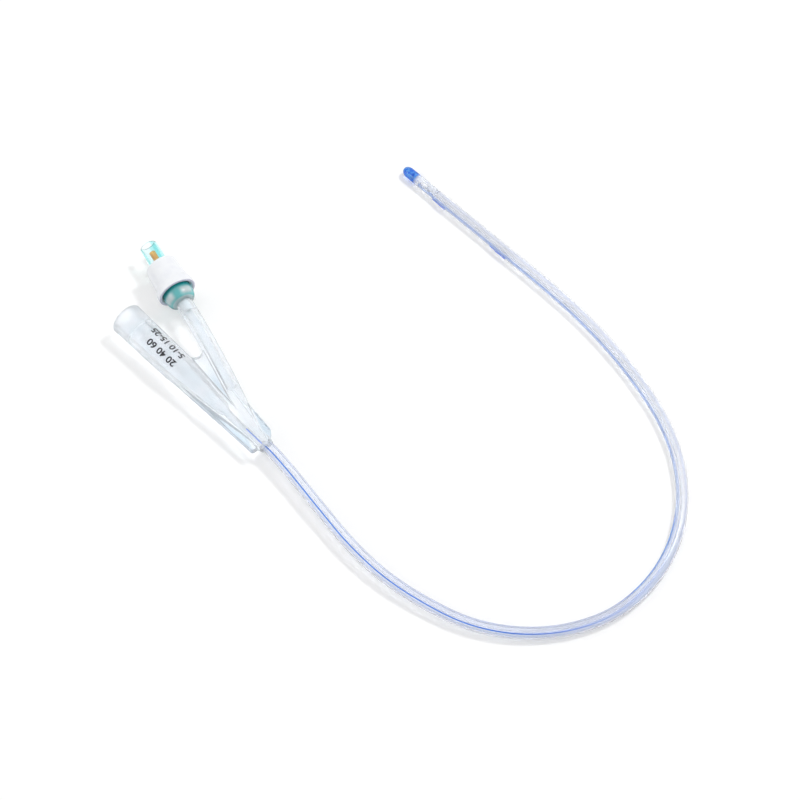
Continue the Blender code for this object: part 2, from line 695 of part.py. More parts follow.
def make_shaft():
    """The shaft: full size as far as the balloon, and slimmer under the balloon's sleeve."""
    whole = SLEEVE_START - GAP
    count = round(whole / CORD_STEP)
    marks = [(whole * i / count, SHAFT_RADIUS) for i in range(count + 1)]
    shoulder = whole + GAP / 3
    count = round((SHAFT_END - shoulder) / CORD_STEP)
    marks += [(shoulder + (SHAFT_END - shoulder) * i / count, CORE_RADIUS) for i in range(count + 1)]
    points = [place_at(mark) for mark, _ in marks]
    radii = [radius for _, radius in marks]
    return as_part(round_curve("shaft_tube", points, radii, CORD_SIDES), datum, shaft_silicone)


def make_sleeve():
    """The balloon, let down flat: a thin sleeve with a thicker bonded band at each end."""
    step = SLEEVE_BAND_RADIUS - SLEEVE_RADIUS
    near_end = SLEEVE_LENGTH - NEAR_BAND_LENGTH
    profile = [(SLEEVE_RADIUS - step / 3, SLEEVE_LENGTH)]
    profile.append((SLEEVE_RADIUS + step / 3, SLEEVE_LENGTH - NEAR_BAND_LENGTH * 0.3))
    profile.append((SLEEVE_BAND_RADIUS, SLEEVE_LENGTH - NEAR_BAND_LENGTH * 0.65))
    profile.append((SLEEVE_BAND_RADIUS, near_end + step))
    profile.append((SLEEVE_RADIUS, near_end - step))
    profile.append((SLEEVE_RADIUS, FAR_BAND_LENGTH + step * 3))
    profile.append((SLEEVE_BAND_RADIUS, FAR_BAND_LENGTH))
    profile.append((SLEEVE_BAND_RADIUS, step * 2))
    profile.append((SLEEVE_RADIUS, 0.0))
    profile.append((SLEEVE_BORE_RADIUS, 0.0))
    profile.append((SLEEVE_BORE_RADIUS, SLEEVE_LENGTH))
    return as_part(turned("balloon_sleeve", profile), balloon_axis, shaft_silicone)


def make_eye(name, centre, angle):
    """A cutter for one drainage eye: an oval prism from the tip's lumen out through its wall."""
    bpy.ops.mesh.primitive_cylinder_add(vertices=24, radius=0.5, depth=1.0, end_fill_type="NGON")
    eye = bpy.context.object
    eye.name = name
    reach = TIP_RADIUS * 2
    size = Matrix.Diagonal((EYE_WIDTH, EYE_LENGTH, reach, 1.0))
    upright = Matrix.Rotation(math.radians(90.0), 4, "X")
    outward = Matrix.Translation((0.0, -reach / 2, TIP_LENGTH - centre))
    eye.data.transform(Matrix.Rotation(angle, 4, "Z") @ outward @ upright @ size)
    for collection in list(eye.users_collection):
        collection.objects.unlink(eye)
    return as_cutter(eye, tip_axis)


def make_tip():
    """The closed tip with its lumen and two drainage eyes, on opposite sides."""
    nose = TIP_LENGTH - TIP_NOSE_LENGTH
    profile = []
    for i in range(7):
        angle = math.radians(90.0 * (6 - i) / 6)
        profile.append((TIP_RADIUS * math.cos(angle), nose + TIP_NOSE_LENGTH * math.sin(angle)))
    profile[0] = (0.0, TIP_LENGTH)
    lumen_top = TIP_LENGTH - TIP_LUMEN_END
    profile += [(TIP_RADIUS, 0.0), (TIP_LUMEN_RADIUS, 0.0), (TIP_LUMEN_RADIUS, lumen_top)]
    profile.append((TIP_LUMEN_RADIUS / 2, lumen_top + TIP_LUMEN_RADIUS / 2))
    profile.append((0.0, lumen_top + TIP_LUMEN_RADIUS / 2))
    tip = turned("tip", profile, closed=False)
    combine(tip, make_eye("near_eye", NEAR_EYE_CENTRE, EYE_ANGLE), "DIFFERENCE")
    combine(tip, make_eye("far_eye", FAR_EYE_CENTRE, EYE_ANGLE + math.pi), "DIFFERENCE")
    return as_part(tip, tip_axis, blue_silicone)


balloon_axis = axis_frame("balloon_axis", SLEEVE_START, SHAFT_END)
tip_axis = axis_frame("tip_axis", SHAFT_END + GAP, ROUTE_LENGTH)
make_shaft()
make_sleeve()
make_tip()
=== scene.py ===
# %% [markdown]
# # A balloon catheter on a white table
#
# The object is a soft tube about 400 mm long. At one end a moulded Y connector holds a wide
# funnel and a valve, and at the other end there is a thin balloon and a round blue tip.
# Nearly all of it is clear silicone or clear plastic, so its looks come from real walls, real
# bores and light that bends through them, and masks only add what is dyed or lies too deep.
#
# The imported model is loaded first. It fixes where each piece is and how big it is.

# %% Load the frame
import math

import bmesh
import bpy
from mathutils import Euler, Matrix, Vector


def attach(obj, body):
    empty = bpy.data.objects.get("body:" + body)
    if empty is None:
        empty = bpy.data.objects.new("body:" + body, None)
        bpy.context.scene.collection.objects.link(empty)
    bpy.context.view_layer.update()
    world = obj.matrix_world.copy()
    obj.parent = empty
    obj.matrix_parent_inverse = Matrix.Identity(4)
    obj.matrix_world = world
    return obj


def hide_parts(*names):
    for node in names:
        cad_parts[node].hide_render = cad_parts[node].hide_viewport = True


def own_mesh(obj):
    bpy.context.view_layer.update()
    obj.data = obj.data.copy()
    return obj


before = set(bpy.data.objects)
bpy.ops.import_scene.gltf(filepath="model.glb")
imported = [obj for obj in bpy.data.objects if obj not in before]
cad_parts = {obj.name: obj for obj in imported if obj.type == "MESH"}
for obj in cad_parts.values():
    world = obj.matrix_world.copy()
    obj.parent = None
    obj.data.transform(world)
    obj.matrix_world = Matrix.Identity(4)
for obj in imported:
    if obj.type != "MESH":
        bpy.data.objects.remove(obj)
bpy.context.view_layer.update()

# %% [markdown]
# ## The few places that everything hangs on
#
# All sizes are in metres. The catheter was laid out from the middle of the connector's end
# face, and `DATUM` moves that layout to the model's own origin. The connector was drawn in a
# flat plane that tilts a little, so that the funnel's mouth rests on the table. The valve has
# an axis of its own, which leans away from the funnel.

# %% Places and frames
DATUM = Vector((-0.010118, -0.040053, 0.0))
SHAFT_EXIT_HEIGHT = 0.00465
FUNNEL_LENGTH = 0.0648
MOUTH_RADIUS = 0.00548
PLANE_TILT = math.asin((MOUTH_RADIUS - SHAFT_EXIT_HEIGHT) / FUNNEL_LENGTH)
ARM_END = Vector((0.0169, 0.0557, 0.006375))
VALVE_YAW = math.radians(13.8)
VALVE_RISE = math.radians(0.84)

plane_place = (Matrix.Translation(DATUM + Vector((0, 0, SHAFT_EXIT_HEIGHT)))
               @ Matrix.Rotation(PLANE_TILT, 4, "X"))
valve_turn = Euler((VALVE_RISE - math.pi / 2, 0.0, -VALVE_YAW)).to_matrix().to_4x4()
valve_place = Matrix.Translation(DATUM + ARM_END) @ valve_turn
valve_axis = (valve_turn @ Vector((0, 0, 1))).normalized()
print("valve axis:", [round(c, 4) for c in valve_axis])

# %% [markdown]
# ## Camera
#
# The photograph looks down at sixty degrees with a long lens.

# %% Camera
LENS_MM = 117.0
CAMERA_SPOT = Vector((-0.24132, -0.31190, 0.71255)) + DATUM
CAMERA_TARGET = Vector((0.044287, -0.015809, 0.0)) + DATUM

bpy.ops.object.camera_add(location=CAMERA_SPOT)
camera = bpy.context.object
camera.rotation_euler = (CAMERA_TARGET - CAMERA_SPOT).to_track_quat("-Z", "Y").to_euler()
camera.data.lens = LENS_MM
camera.data.sensor_width = 36.0
camera.data.clip_start = 0.01
bpy.context.scene.camera = camera
print("camera is", round((CAMERA_TARGET - CAMERA_SPOT).length, 3), "m from the object")

# %% [markdown]
# ## Helpers for modelling
#
# Blender's operators act on whatever is selected, so each piece starts with nothing selected.
# Two helpers below make most shapes: `turned` spins half a section, as on a lathe, and
# `straight_tube` extrudes a ring along X. Both give closed, clean meshes.

# %% Small helpers
def select_only(thing):
    """Select one object and nothing else, and make it active."""
    bpy.ops.object.select_all(action="DESELECT")
    thing.select_set(True)
    bpy.context.view_layer.objects.active = thing


def edit(thing):
    """Go into edit mode on one object, with everything selected."""
    select_only(thing)
    bpy.ops.object.mode_set(mode="EDIT")
    bpy.ops.mesh.select_all(action="SELECT")


def leave_edit():
    """Go back to object mode."""
    bpy.ops.object.mode_set(mode="OBJECT")


def settle(thing, place):
    """Put a piece at its place, and move that place into its mesh."""
    select_only(thing)
    thing.matrix_world = place
    bpy.ops.object.transform_apply(location=True, rotation=True, scale=True)


def apply_modifier(thing, kind, **settings):
    """Add one modifier with these settings and apply it."""
    select_only(thing)
    modifier = thing.modifiers.new(kind.title(), kind)
    for name, value in settings.items():
        setattr(modifier, name, value)
    bpy.ops.object.modifier_apply(modifier=modifier.name)


def smooth(thing, degrees=32.0):
    """Shade smooth, but keep edges sharper than this angle."""
    select_only(thing)
    bpy.ops.object.shade_smooth_by_angle(angle=math.radians(degrees))


def arc(centre, radius, start, end, steps=5):
    """Points of an arc in an outline, between two angles in degrees."""
    x, y = centre
    angles = [math.radians(start + (end - start) * i / steps) for i in range(steps + 1)]
    return [(x + radius * math.cos(a), y + radius * math.sin(a)) for a in angles]


def ease(value):
    """0 to 1 with level ends."""
    value = min(max(value, 0.0), 1.0)
    return value * value * (3.0 - 2.0 * value)

# %% [markdown]
# ### A lathe
#
# A plane is merged to one vertex, which is then extruded from point to point. `trace` draws half
# of a round piece's section so, Spin turns it round Z, and merging by distance closes the seam
# and the poles. Cylinders and cones could be stacked up instead, but one outline keeps every
# shoulder and fillet of a piece in one list.

# %% Turned pieces
SPIN_STEPS = 96
WELD = 0.000002


def trace(name, points):
    """Extrude one vertex from point to point. The new piece stays in edit mode."""
    bpy.ops.object.select_all(action="DESELECT")
    bpy.ops.mesh.primitive_plane_add(size=0.001)
    piece = bpy.context.object
    piece.name = name
    edit(piece)
    bpy.ops.mesh.merge(type="CENTER")
    bpy.ops.transform.translate(value=points[0])
    for before, after in zip(points, points[1:]):
        step = tuple(b - a for a, b in zip(before, after))
        bpy.ops.mesh.extrude_region_move(TRANSFORM_OT_translate={"value": step})
    return piece


def turned(name, outline, closed=True, steps=SPIN_STEPS):
    """Spin an outline of (radius, height) points round Z."""
    piece = trace(name, [(radius, 0.0, height) for radius, height in outline])
    if closed:
        bpy.ops.mesh.select_all(action="DESELECT")
        work = bmesh.from_edit_mesh(piece.data)
        work.verts.ensure_lookup_table()
        for end in (0, -1):
            work.verts[end].select = True
        bpy.ops.mesh.edge_face_add()
    bpy.ops.mesh.select_all(action="SELECT")
    bpy.ops.mesh.spin(steps=steps, angle=math.tau, center=(0, 0, 0), axis=(0, 0, 1))
    bpy.ops.mesh.select_all(action="SELECT")
    bpy.ops.mesh.remove_doubles(threshold=WELD)
    bpy.ops.mesh.normals_make_consistent(inside=False)
    leave_edit()
    smooth(piece)
    print(name, "turned with", len(piece.data.polygons), "faces")
    return piece

# %% [markdown]
# ### A tube along X
#
# A ring is extruded from station to station and scaled to each station's radius. Holes are
# further rings in the same plane: Fill then makes a face with holes in it, and extruding that
# face gives a tube with real bores. Long stretches are cut finer afterwards, so that they bend.

# %% Straight tubes
RUNS_ALONG = 0.9      # an edge runs along X when this share of its length does


def straight_tube(name, stations, sides=64, holes=(), cut_to=None):
    """A tube along X through (distance, radius) stations. A hole is (side, up, radius, sides)."""
    start, first_radius = stations[0]
    bpy.ops.object.select_all(action="DESELECT")
    bpy.ops.mesh.primitive_circle_add(vertices=sides, radius=first_radius,
                                      rotation=(0.0, math.pi / 2, 0.0))
    tube = bpy.context.object
    tube.name = name
    bpy.ops.object.transform_apply(location=True, rotation=True, scale=True)
    bpy.ops.object.mode_set(mode="EDIT")
    for side, up, radius, hole_sides in holes:
        bpy.ops.mesh.primitive_circle_add(vertices=hole_sides, radius=radius,
                                          location=(0.0, side, up), rotation=(0.0, math.pi / 2, 0.0))
    bpy.ops.mesh.select_all(action="SELECT")
    bpy.ops.transform.translate(value=(start, 0.0, 0.0))
    bpy.ops.mesh.fill()
    for (x0, r0), (x1, r1) in zip(stations, stations[1:]):
        bpy.ops.mesh.extrude_region_move(TRANSFORM_OT_translate={"value": (x1 - x0, 0.0, 0.0)})
        bpy.ops.transform.resize(value=(1.0, r1 / r0, r1 / r0), center_override=(x1, 0.0, 0.0))
    if cut_to:
        cut_lengthwise(tube, cut_to)
    bpy.ops.mesh.select_all(action="SELECT")
    bpy.ops.mesh.normals_make_consistent(inside=False)
    leave_edit()
    return tube


def cut_lengthwise(tube, longest):
    """Cut the edges that run along X until none is longer than this."""
    bpy.context.tool_settings.mesh_select_mode = (False, True, False)
    while True:
        bpy.ops.mesh.select_all(action="DESELECT")
        work = bmesh.from_edit_mesh(tube.data)
        found = False
        for edge in work.edges:
            run = abs(edge.verts[0].co.x - edge.verts[1].co.x)
            if run > longest and run > edge.calc_length() * RUNS_ALONG:
                edge.select = True
                found = True
        bmesh.update_edit_mesh(tube.data)
        if not found:
            break
        bpy.ops.mesh.subdivide(number_cuts=1)
    bpy.context.tool_settings.mesh_select_mode = (True, False, False)

# %% [markdown]
# ### Bending a straight piece
#
# The Curve modifier carries a piece that was modelled along X onto a curve, and keeps every
# length. So the shaft, the arm and the bores are all drawn straight and bent afterwards.

# %% Bend along a path
def bend(piece, points):
    """Bend a piece that lies along X onto a line of points."""
    curve = bpy.data.curves.new("bend_path", "CURVE")
    curve.dimensions = "3D"
    curve.twist_mode = "Z_UP"
    curve.use_deform_bounds = False
    spline = curve.splines.new("POLY")
    spline.points.add(len(points) - 1)
    for spot, point in zip(spline.points, points):
        spot.co = (*point, 1.0)
    path = bpy.data.objects.new("bend_path", curve)
    bpy.context.scene.collection.objects.link(path)
    apply_modifier(piece, "CURVE", object=path, deform_axis="POS_X")
    bpy.data.objects.remove(path)

# %% [markdown]
# ### Wrapping a pattern round a tube
#
# A stripe has to follow the tube round its bends, so it can't be written in plain coordinates.
# Each tube gets a UV map while it is still straight: U runs from 0 to 1 along its length, and V
# from 0 to 1 round it, with the top at one half.

# %% UV map from the straight shape
def wrap_uv(tube, length):
    """U is the share of the length, V the share of a turn, with its seam underneath."""
    layer = tube.data.uv_layers.new(name="wrap")
    for face in tube.data.polygons:
        turns = []
        for index in face.vertices:
            spot = tube.data.vertices[index].co
            turns.append(math.atan2(spot.y, spot.z) / math.tau + 0.5)
        if max(turns) - min(turns) > 0.5:
            turns = [turn + 1.0 if turn < 0.5 else turn for turn in turns]
        for loop, index, turn in zip(face.loop_indices, face.vertices, turns):
            layer.data[loop].uv = (tube.data.vertices[index].co.x / length, turn)

# %% [markdown]
# ## The route of the shaft
#
# The tube lies on the table in one open loop. Its points are given, and the line
# between them is smooth at each point, as a soft tube lies. The stripe, the balloon and the tip
# all follow the same line.

# %% The route
ROUTE = (
    (0.0010, -0.0003, 0.00465),
    (0.0010, -0.0040, 0.00461),
    (0.0001, -0.0135, 0.00450),
    (-0.0018, -0.0284, 0.00416),
    (-0.0034, -0.0433, 0.00374),
    (-0.0032, -0.0582, 0.00325),
    (-0.0004, -0.0730, 0.00275),
    (0.0046, -0.0872, 0.00236),
    (0.0131, -0.0995, 0.00212),
    (0.0246, -0.1090, 0.00202),
    (0.0386, -0.1148, 0.00200),
    (0.0537, -0.1154, 0.00200),
    (0.0682, -0.1114, 0.00200),
    (0.0808, -0.1033, 0.00200),
    (0.0908, -0.0922, 0.00200),
    (0.0979, -0.0790, 0.00200),
    (0.1024, -0.0646, 0.00202),
    (0.1053, -0.0499, 0.00208),
    (0.1069, -0.0350, 0.00213),
    (0.1073, -0.0200, 0.00220),
    (0.1071, -0.0060, 0.00223),
    (0.1066, 0.0202, 0.00223),
    (0.1061, 0.0464, 0.00223),
)


def smooth_route(points, samples=24):
    """A fine line through the route's points, smooth at each of them."""
    spots = [Vector(point) for point in points]
    spots = [spots[0] * 2 - spots[1]] + spots + [spots[-1] * 2 - spots[-2]]
    line = []
    for before, start, end, after in zip(spots, spots[1:], spots[2:], spots[3:]):
        span = (end - start).length
        leave = (end - before) * (span / ((end - start).length + (start - before).length))
        arrive = (after - start) * (span / ((end - start).length + (after - end).length))
        for i in range(samples):
            t = i / samples
            line.append(start * (2 * t ** 3 - 3 * t ** 2 + 1) + leave * (t ** 3 - 2 * t ** 2 + t)
                        + end * (3 * t ** 2 - 2 * t ** 3) + arrive * (t ** 3 - t ** 2))
    line.append(spots[-2])
    return line


route_line = [point + DATUM for point in smooth_route(ROUTE)]
ROUTE_LENGTH = sum((b - a).length for a, b in zip(route_line, route_line[1:]))
print("the route is", round(ROUTE_LENGTH * 1000, 1), "mm long")

# %% [markdown]
# ## The shaft
#
# The real tube is extruded with two bores: a wide one that drains and a hair-thin one that
# fills the balloon. Seen from outside they give the long pale and dark lines, so they are
# modelled as holes and not drawn on. Under the balloon the shaft is a little slimmer.

# %% Shaft
GAP = 0.0003
SHAFT_RADIUS = 0.0020
CORE_RADIUS = 0.00190
TIP_LENGTH = 0.0146
SLEEVE_LENGTH = 0.0361
SHAFT_END = ROUTE_LENGTH - TIP_LENGTH - GAP
SLEEVE_START = SHAFT_END - SLEEVE_LENGTH
DRAIN_BORE = (-0.00055, 0.0, 0.00095, 36)
FILL_BORE = (0.00125, 0.0, 0.00030, 16)
STEP_DOWN = 0.0001
SHAFT_CUT = 0.0016

stations = [(0.0, SHAFT_RADIUS), (SLEEVE_START, SHAFT_RADIUS),
            (SLEEVE_START + STEP_DOWN, CORE_RADIUS), (SHAFT_END, CORE_RADIUS)]
shaft = straight_tube("shaft", stations, sides=96, holes=(DRAIN_BORE, FILL_BORE), cut_to=SHAFT_CUT)
wrap_uv(shaft, ROUTE_LENGTH)
bend(shaft, route_line)
smooth(shaft)
print("shaft:", len(shaft.data.polygons), "faces")

# %% [markdown]
# ## The balloon
#
# Let down, the balloon is only a thin sleeve round the shaft. At each end it is glued down, and
# there it swells to a thicker band. It is turned as a closed section and laid along X before it
# is bent onto the route.

# %% Balloon sleeve
SLEEVE_RADIUS = 0.00205
SLEEVE_BAND_RADIUS = 0.00223
SLEEVE_BORE = 0.00192
FIRST_BAND = 0.0070
LAST_BAND = 0.0073
RISE_SHARE = 0.5      # share of the first band over which it swells
FADE_FROM = 0.3       # share of the last band at which it starts to thin
SWELL_STEPS = 4
THIN_STEPS = 5
SLEEVE_CUT = 0.0006

step = SLEEVE_BAND_RADIUS - SLEEVE_RADIUS
last_start = SLEEVE_LENGTH - LAST_BAND
outline = [(SLEEVE_BORE, 0.0)]
outline += [(SLEEVE_RADIUS + step * ease(i / SWELL_STEPS), FIRST_BAND * RISE_SHARE * i / SWELL_STEPS)
            for i in range(SWELL_STEPS + 1)]
outline += [(SLEEVE_BAND_RADIUS, FIRST_BAND), (SLEEVE_RADIUS, FIRST_BAND + step * 2)]
outline += [(SLEEVE_RADIUS, last_start - step), (SLEEVE_BAND_RADIUS, last_start + step)]
for i in range(THIN_STEPS + 1):
    height = last_start + LAST_BAND * (FADE_FROM + (1.0 - FADE_FROM) * i / THIN_STEPS)
    outline.append((SLEEVE_RADIUS + step * (1.0 - ease(i / THIN_STEPS)), height))
outline.append((SLEEVE_BORE, SLEEVE_LENGTH))
sleeve = turned("balloon", outline, steps=64)
settle(sleeve, Matrix.Translation((SLEEVE_START, 0, 0)) @ Matrix.Rotation(math.pi / 2, 4, "Y"))
edit(sleeve)
cut_lengthwise(sleeve, SLEEVE_CUT)
leave_edit()
wrap_uv(sleeve, ROUTE_LENGTH)
bend(sleeve, route_line)
smooth(sleeve)
print("balloon:", len(sleeve.data.polygons), "faces")

# %% [markdown]
# ## The tip
#
# The tip is a closed round end with a bore inside, and an oval eye on each side lets urine in.
# A half section is turned, so that the round bore and the round nose come in one go, and the
# eyes are cut by a Boolean with stretched cylinders, which leaves their edges crisp.

# %% Tip
TIP_RADIUS = 0.0018
TIP_NOSE = 0.0024
TIP_BORE = 0.0011
TIP_BORE_END = 0.0044
BORE_END_SHARE = 0.6      # depth of the bore's rounded end, as a share of its radius
EYE_LENGTH = 0.0050
EYE_WIDTH = 0.0017
EYES = ((0.0076, 50.0), (0.0108, 230.0))      # distance from the nose, and degrees from the top
NOSE_STEPS = 12

nose_start = TIP_LENGTH - TIP_NOSE
bore_top = TIP_LENGTH - TIP_BORE_END
bore_cap = TIP_BORE * BORE_END_SHARE
outline = [(0.0, TIP_LENGTH)]
for i in range(1, NOSE_STEPS + 1):
    angle = math.radians(90.0 * (NOSE_STEPS - i) / NOSE_STEPS)
    outline.append((TIP_RADIUS * math.cos(angle), nose_start + TIP_NOSE * math.sin(angle)))
outline += [(TIP_RADIUS, 0.0), (TIP_BORE, 0.0), (TIP_BORE, bore_top)]
for angle in (math.radians(30), math.radians(60)):
    outline.append((TIP_BORE * math.cos(angle), bore_top + bore_cap * math.sin(angle)))
outline.append((0.0, bore_top + bore_cap))
tip = turned("rounded_tip", outline, closed=False, steps=64)


def cut_eye(tip, distance, degrees):
    """Cut one oval eye through the tip's wall."""
    bpy.ops.object.select_all(action="DESELECT")
    bpy.ops.mesh.primitive_cylinder_add(vertices=48, radius=0.5, depth=1.0)
    cutter = bpy.context.object
    edit(cutter)
    bpy.ops.transform.resize(value=(EYE_WIDTH, EYE_LENGTH, TIP_RADIUS * 2))
    leave_edit()
    reach = Matrix.Translation((0.0, -TIP_RADIUS, TIP_LENGTH - distance))
    upright = Matrix.Rotation(math.pi / 2, 4, "X")
    settle(cutter, Matrix.Rotation(math.radians(degrees), 4, "Z") @ reach @ upright)
    apply_modifier(tip, "BOOLEAN", operation="DIFFERENCE", object=cutter)
    bpy.data.objects.remove(cutter)


for distance, degrees in EYES:
    cut_eye(tip, distance, degrees)
settle(tip, Matrix.Translation((SHAFT_END + GAP / 3, 0, 0)) @ Matrix.Rotation(math.pi / 2, 4, "Y"))
wrap_uv(tip, ROUTE_LENGTH)
bend(tip, route_line)
smooth(tip)
print("tip:", len(tip.data.polygons), "faces")

# %% [markdown]
# ## The Y connector
#
# The connector is one soft moulding: a funnel, an arm that bends away from it, and a flat web
# with fins that ties them together round the shaft. These forms are made apart and joined.
# A voxel remesh melts their joins into the soft fillets that a silicone mould has, and the
# bores are cut afterwards, so that their walls stay crisp. The funnel comes first: a tube drawn
# straight, with its lower end then bent over to meet the shaft.

# %% Funnel
BARREL_RADIUS = 0.00516
BARREL_LENGTH = 0.0251
HUB_RADIUS = 0.00245
CONE_POWER = 1.4
CONE_LENGTH = FUNNEL_LENGTH - BARREL_LENGTH
HUB_BEND_LENGTH = 0.0250
SHAFT_EXIT_SIDE = 0.0010
RIM_ROUND = 0.0006
CONE_STEPS = 20
FUNNEL_STEPS = 60
CONNECTOR_CUT = 0.002


def funnel_radius(y):
    """Outer radius of the funnel at a distance from the connector's end face."""
    if y >= CONE_LENGTH:
        share = (y - CONE_LENGTH) / BARREL_LENGTH
        return BARREL_RADIUS + (MOUTH_RADIUS - BARREL_RADIUS) * share
    return HUB_RADIUS + (BARREL_RADIUS - HUB_RADIUS) * (y / CONE_LENGTH) ** CONE_POWER


def funnel_side(y):
    """How far the funnel's axis has moved over towards the shaft's."""
    return SHAFT_EXIT_SIDE * ease(1.0 - y / HUB_BEND_LENGTH)


heights = [CONE_LENGTH * i / CONE_STEPS for i in range(CONE_STEPS + 1)]
heights.append(FUNNEL_LENGTH - RIM_ROUND)
stations = [(y, funnel_radius(y)) for y in heights]
stations += [(y, r) for r, y in arc((MOUTH_RADIUS - RIM_ROUND, FUNNEL_LENGTH - RIM_ROUND),
                                    RIM_ROUND, 22.5, 90.0, 3)]
axis_heights = [FUNNEL_LENGTH * i / FUNNEL_STEPS for i in range(FUNNEL_STEPS + 1)]
funnel_path = [Vector((funnel_side(y), y, 0.0)) for y in axis_heights]
body = straight_tube("connector", stations, sides=96, cut_to=CONNECTOR_CUT)
bend(body, funnel_path)
print("funnel form:", len(body.data.polygons), "faces")

# %% [markdown]
# ### The arm
#
# The inflation arm leaves the hub at twenty degrees and bends back until it points along the
# valve. A curve with one handle, where those two directions cross, turns without a corner. The
# arm also rises, because the valve's wide collar lies on the table and holds its end up.

# %% Arm
ARM_RADIUS = 0.0028
ARM_ROOT = Vector((0.0012, 0.0050, 0.0))
ARM_ROOT_YAW = math.radians(20.0)
ARM_RISE = ARM_END.z - SHAFT_EXIT_HEIGHT - ARM_END.y * math.tan(PLANE_TILT)
ARM_STEPS = 48
RISE_FROM = 0.25      # share of the arm at which it starts to rise
WIDE_FROM = 0.4       # share of the arm at which it has its full radius
ARM_END_ROUND = 0.0002
ARM_SECTIONS = 20


def arm_points(rise=True):
    """Points on the arm's axis in the moulding plane, from its root to the valve."""
    end = Vector((ARM_END.x, ARM_END.y, 0.0))
    end_way = Vector((math.sin(VALVE_YAW), math.cos(VALVE_YAW), 0.0))
    root_way = Vector((math.sin(ARM_ROOT_YAW), math.cos(ARM_ROOT_YAW), 0.0))
    across = end - ARM_ROOT
    cross = root_way.x * end_way.y - root_way.y * end_way.x
    handle = ARM_ROOT + root_way * ((across.x * end_way.y - across.y * end_way.x) / cross)
    points = []
    for i in range(ARM_STEPS + 1):
        t = i / ARM_STEPS
        point = ARM_ROOT * (1 - t) ** 2 + handle * (2 * t * (1 - t)) + end * t ** 2
        if rise:
            point.z = ARM_RISE * ease((t - RISE_FROM) / (1.0 - RISE_FROM))
        points.append(point)
    return points


arm_line = arm_points()
ARM_LENGTH = sum((b - a).length for a, b in zip(arm_line, arm_line[1:]))
stations = [(ARM_LENGTH * i / ARM_SECTIONS,
             HUB_RADIUS + (ARM_RADIUS - HUB_RADIUS) * ease(i / ARM_SECTIONS / WIDE_FROM))
            for i in range(ARM_SECTIONS)]
stations += [(ARM_LENGTH - GAP - ARM_END_ROUND, ARM_RADIUS),
             (ARM_LENGTH - GAP, ARM_RADIUS - ARM_END_ROUND)]
arm = straight_tube("arm_form", stations, cut_to=CONNECTOR_CUT)
bend(arm, arm_line)
print("the arm is", round(ARM_LENGTH * 1000, 1), "mm long")

# %% [markdown]
# ### The ring at the neck
#
# Where the shaft leaves the hub, the mould makes a short ring round it. It is one more straight
# tube, turned to lie along the hub. `hub_turn` is kept, because the seat for the shaft is cut
# with the same turn later.

# %% Neck ring
NECK_RING_LENGTH = 0.0014
NECK_RING_RADIUS = 0.0023
NECK_RING_PROUD = 0.0003

hub_turn = Matrix.Translation((SHAFT_EXIT_SIDE, 0, 0)) @ Matrix.Rotation(math.pi / 2, 4, "Z")
proud = HUB_RADIUS + NECK_RING_PROUD
ring = straight_tube("neck_ring", [(-NECK_RING_LENGTH, NECK_RING_RADIUS), (0.0, proud),
                                   (2 * NECK_RING_LENGTH, proud)])
settle(ring, hub_turn)
print("neck ring:", len(ring.data.polygons), "faces")

# %% [markdown]
# ### The web
#
# The web is a flat plate with a rounded notch between the funnel and the arm. Its outline is
# traced with one vertex, filled, and extruded to its thickness. A grid with the notch cut out
# would do as well, but an outline puts each corner where it is wanted.

# %% Web
WEB_THICKNESS = 0.0030
WEB_END = 0.0005
LEFT_FIN_TOP = 0.0470
LEFT_FIN_END_X = -0.0037
FIN_CORNER = 0.0008
RIGHT_FIN_TOP = Vector((0.0069, 0.0145))
RIGHT_FIN_X = 0.0057
RIGHT_FIN_CORNER = 0.0025
CROTCH_Y = 0.0374
FIN_TUCK = 0.0003
ARM_INSIDE = (17, 24, 29)      # steps along the arm's axis where the web ends inside it


def crotch_gap(y):
    """The gap between the funnel's side and the arm's side at a height up the crotch."""
    path = arm_points(rise=False)
    for low, high in zip(path, path[1:]):
        if low.y <= y <= high.y:
            centre = low.x + (high.x - low.x) * (y - low.y) / (high.y - low.y)
            lean = (high - low).length / (high.y - low.y)
            return centre - ARM_RADIUS * lean - funnel_radius(y)
    return 0.0


def plate(name, outline, thickness):
    """A flat plate in XY from an outline of (x, y) points."""
    piece = trace(name, [(x, y, -thickness / 2) for x, y in outline])
    bpy.ops.mesh.select_all(action="SELECT")
    bpy.ops.mesh.edge_face_add()
    bpy.ops.mesh.extrude_region_move(TRANSFORM_OT_translate={"value": (0.0, 0.0, thickness)})
    bpy.ops.mesh.select_all(action="SELECT")
    bpy.ops.mesh.normals_make_consistent(inside=False)
    leave_edit()
    return piece


depth = crotch_gap(CROTCH_Y) / 2
crotch_top = CROTCH_Y + depth
half_gap = crotch_gap(crotch_top) / 2 + GAP
notch_x = funnel_radius(crotch_top) + half_gap - GAP
flat_arm = arm_points(rise=False)
outline = arc((RIGHT_FIN_X - RIGHT_FIN_CORNER, WEB_END + RIGHT_FIN_CORNER),
              RIGHT_FIN_CORNER, -90, 0, 8)
outline.append(tuple(RIGHT_FIN_TOP))
outline += [(flat_arm[i].x, flat_arm[i].y) for i in ARM_INSIDE]
outline += [(notch_x + half_gap * x, crotch_top + depth * y)
            for x, y in arc((0, 0), 1.0, 0, -180, 12)]
outline += [(0.0, crotch_top), (0.0, LEFT_FIN_TOP)]
outline.append((FIN_TUCK - funnel_radius(LEFT_FIN_TOP), LEFT_FIN_TOP))
outline += arc((LEFT_FIN_END_X + FIN_CORNER, WEB_END + FIN_CORNER), FIN_CORNER, 180, 270, 4)
web = plate("web_form", outline, WEB_THICKNESS)
print("web drawn with", len(outline), "points")

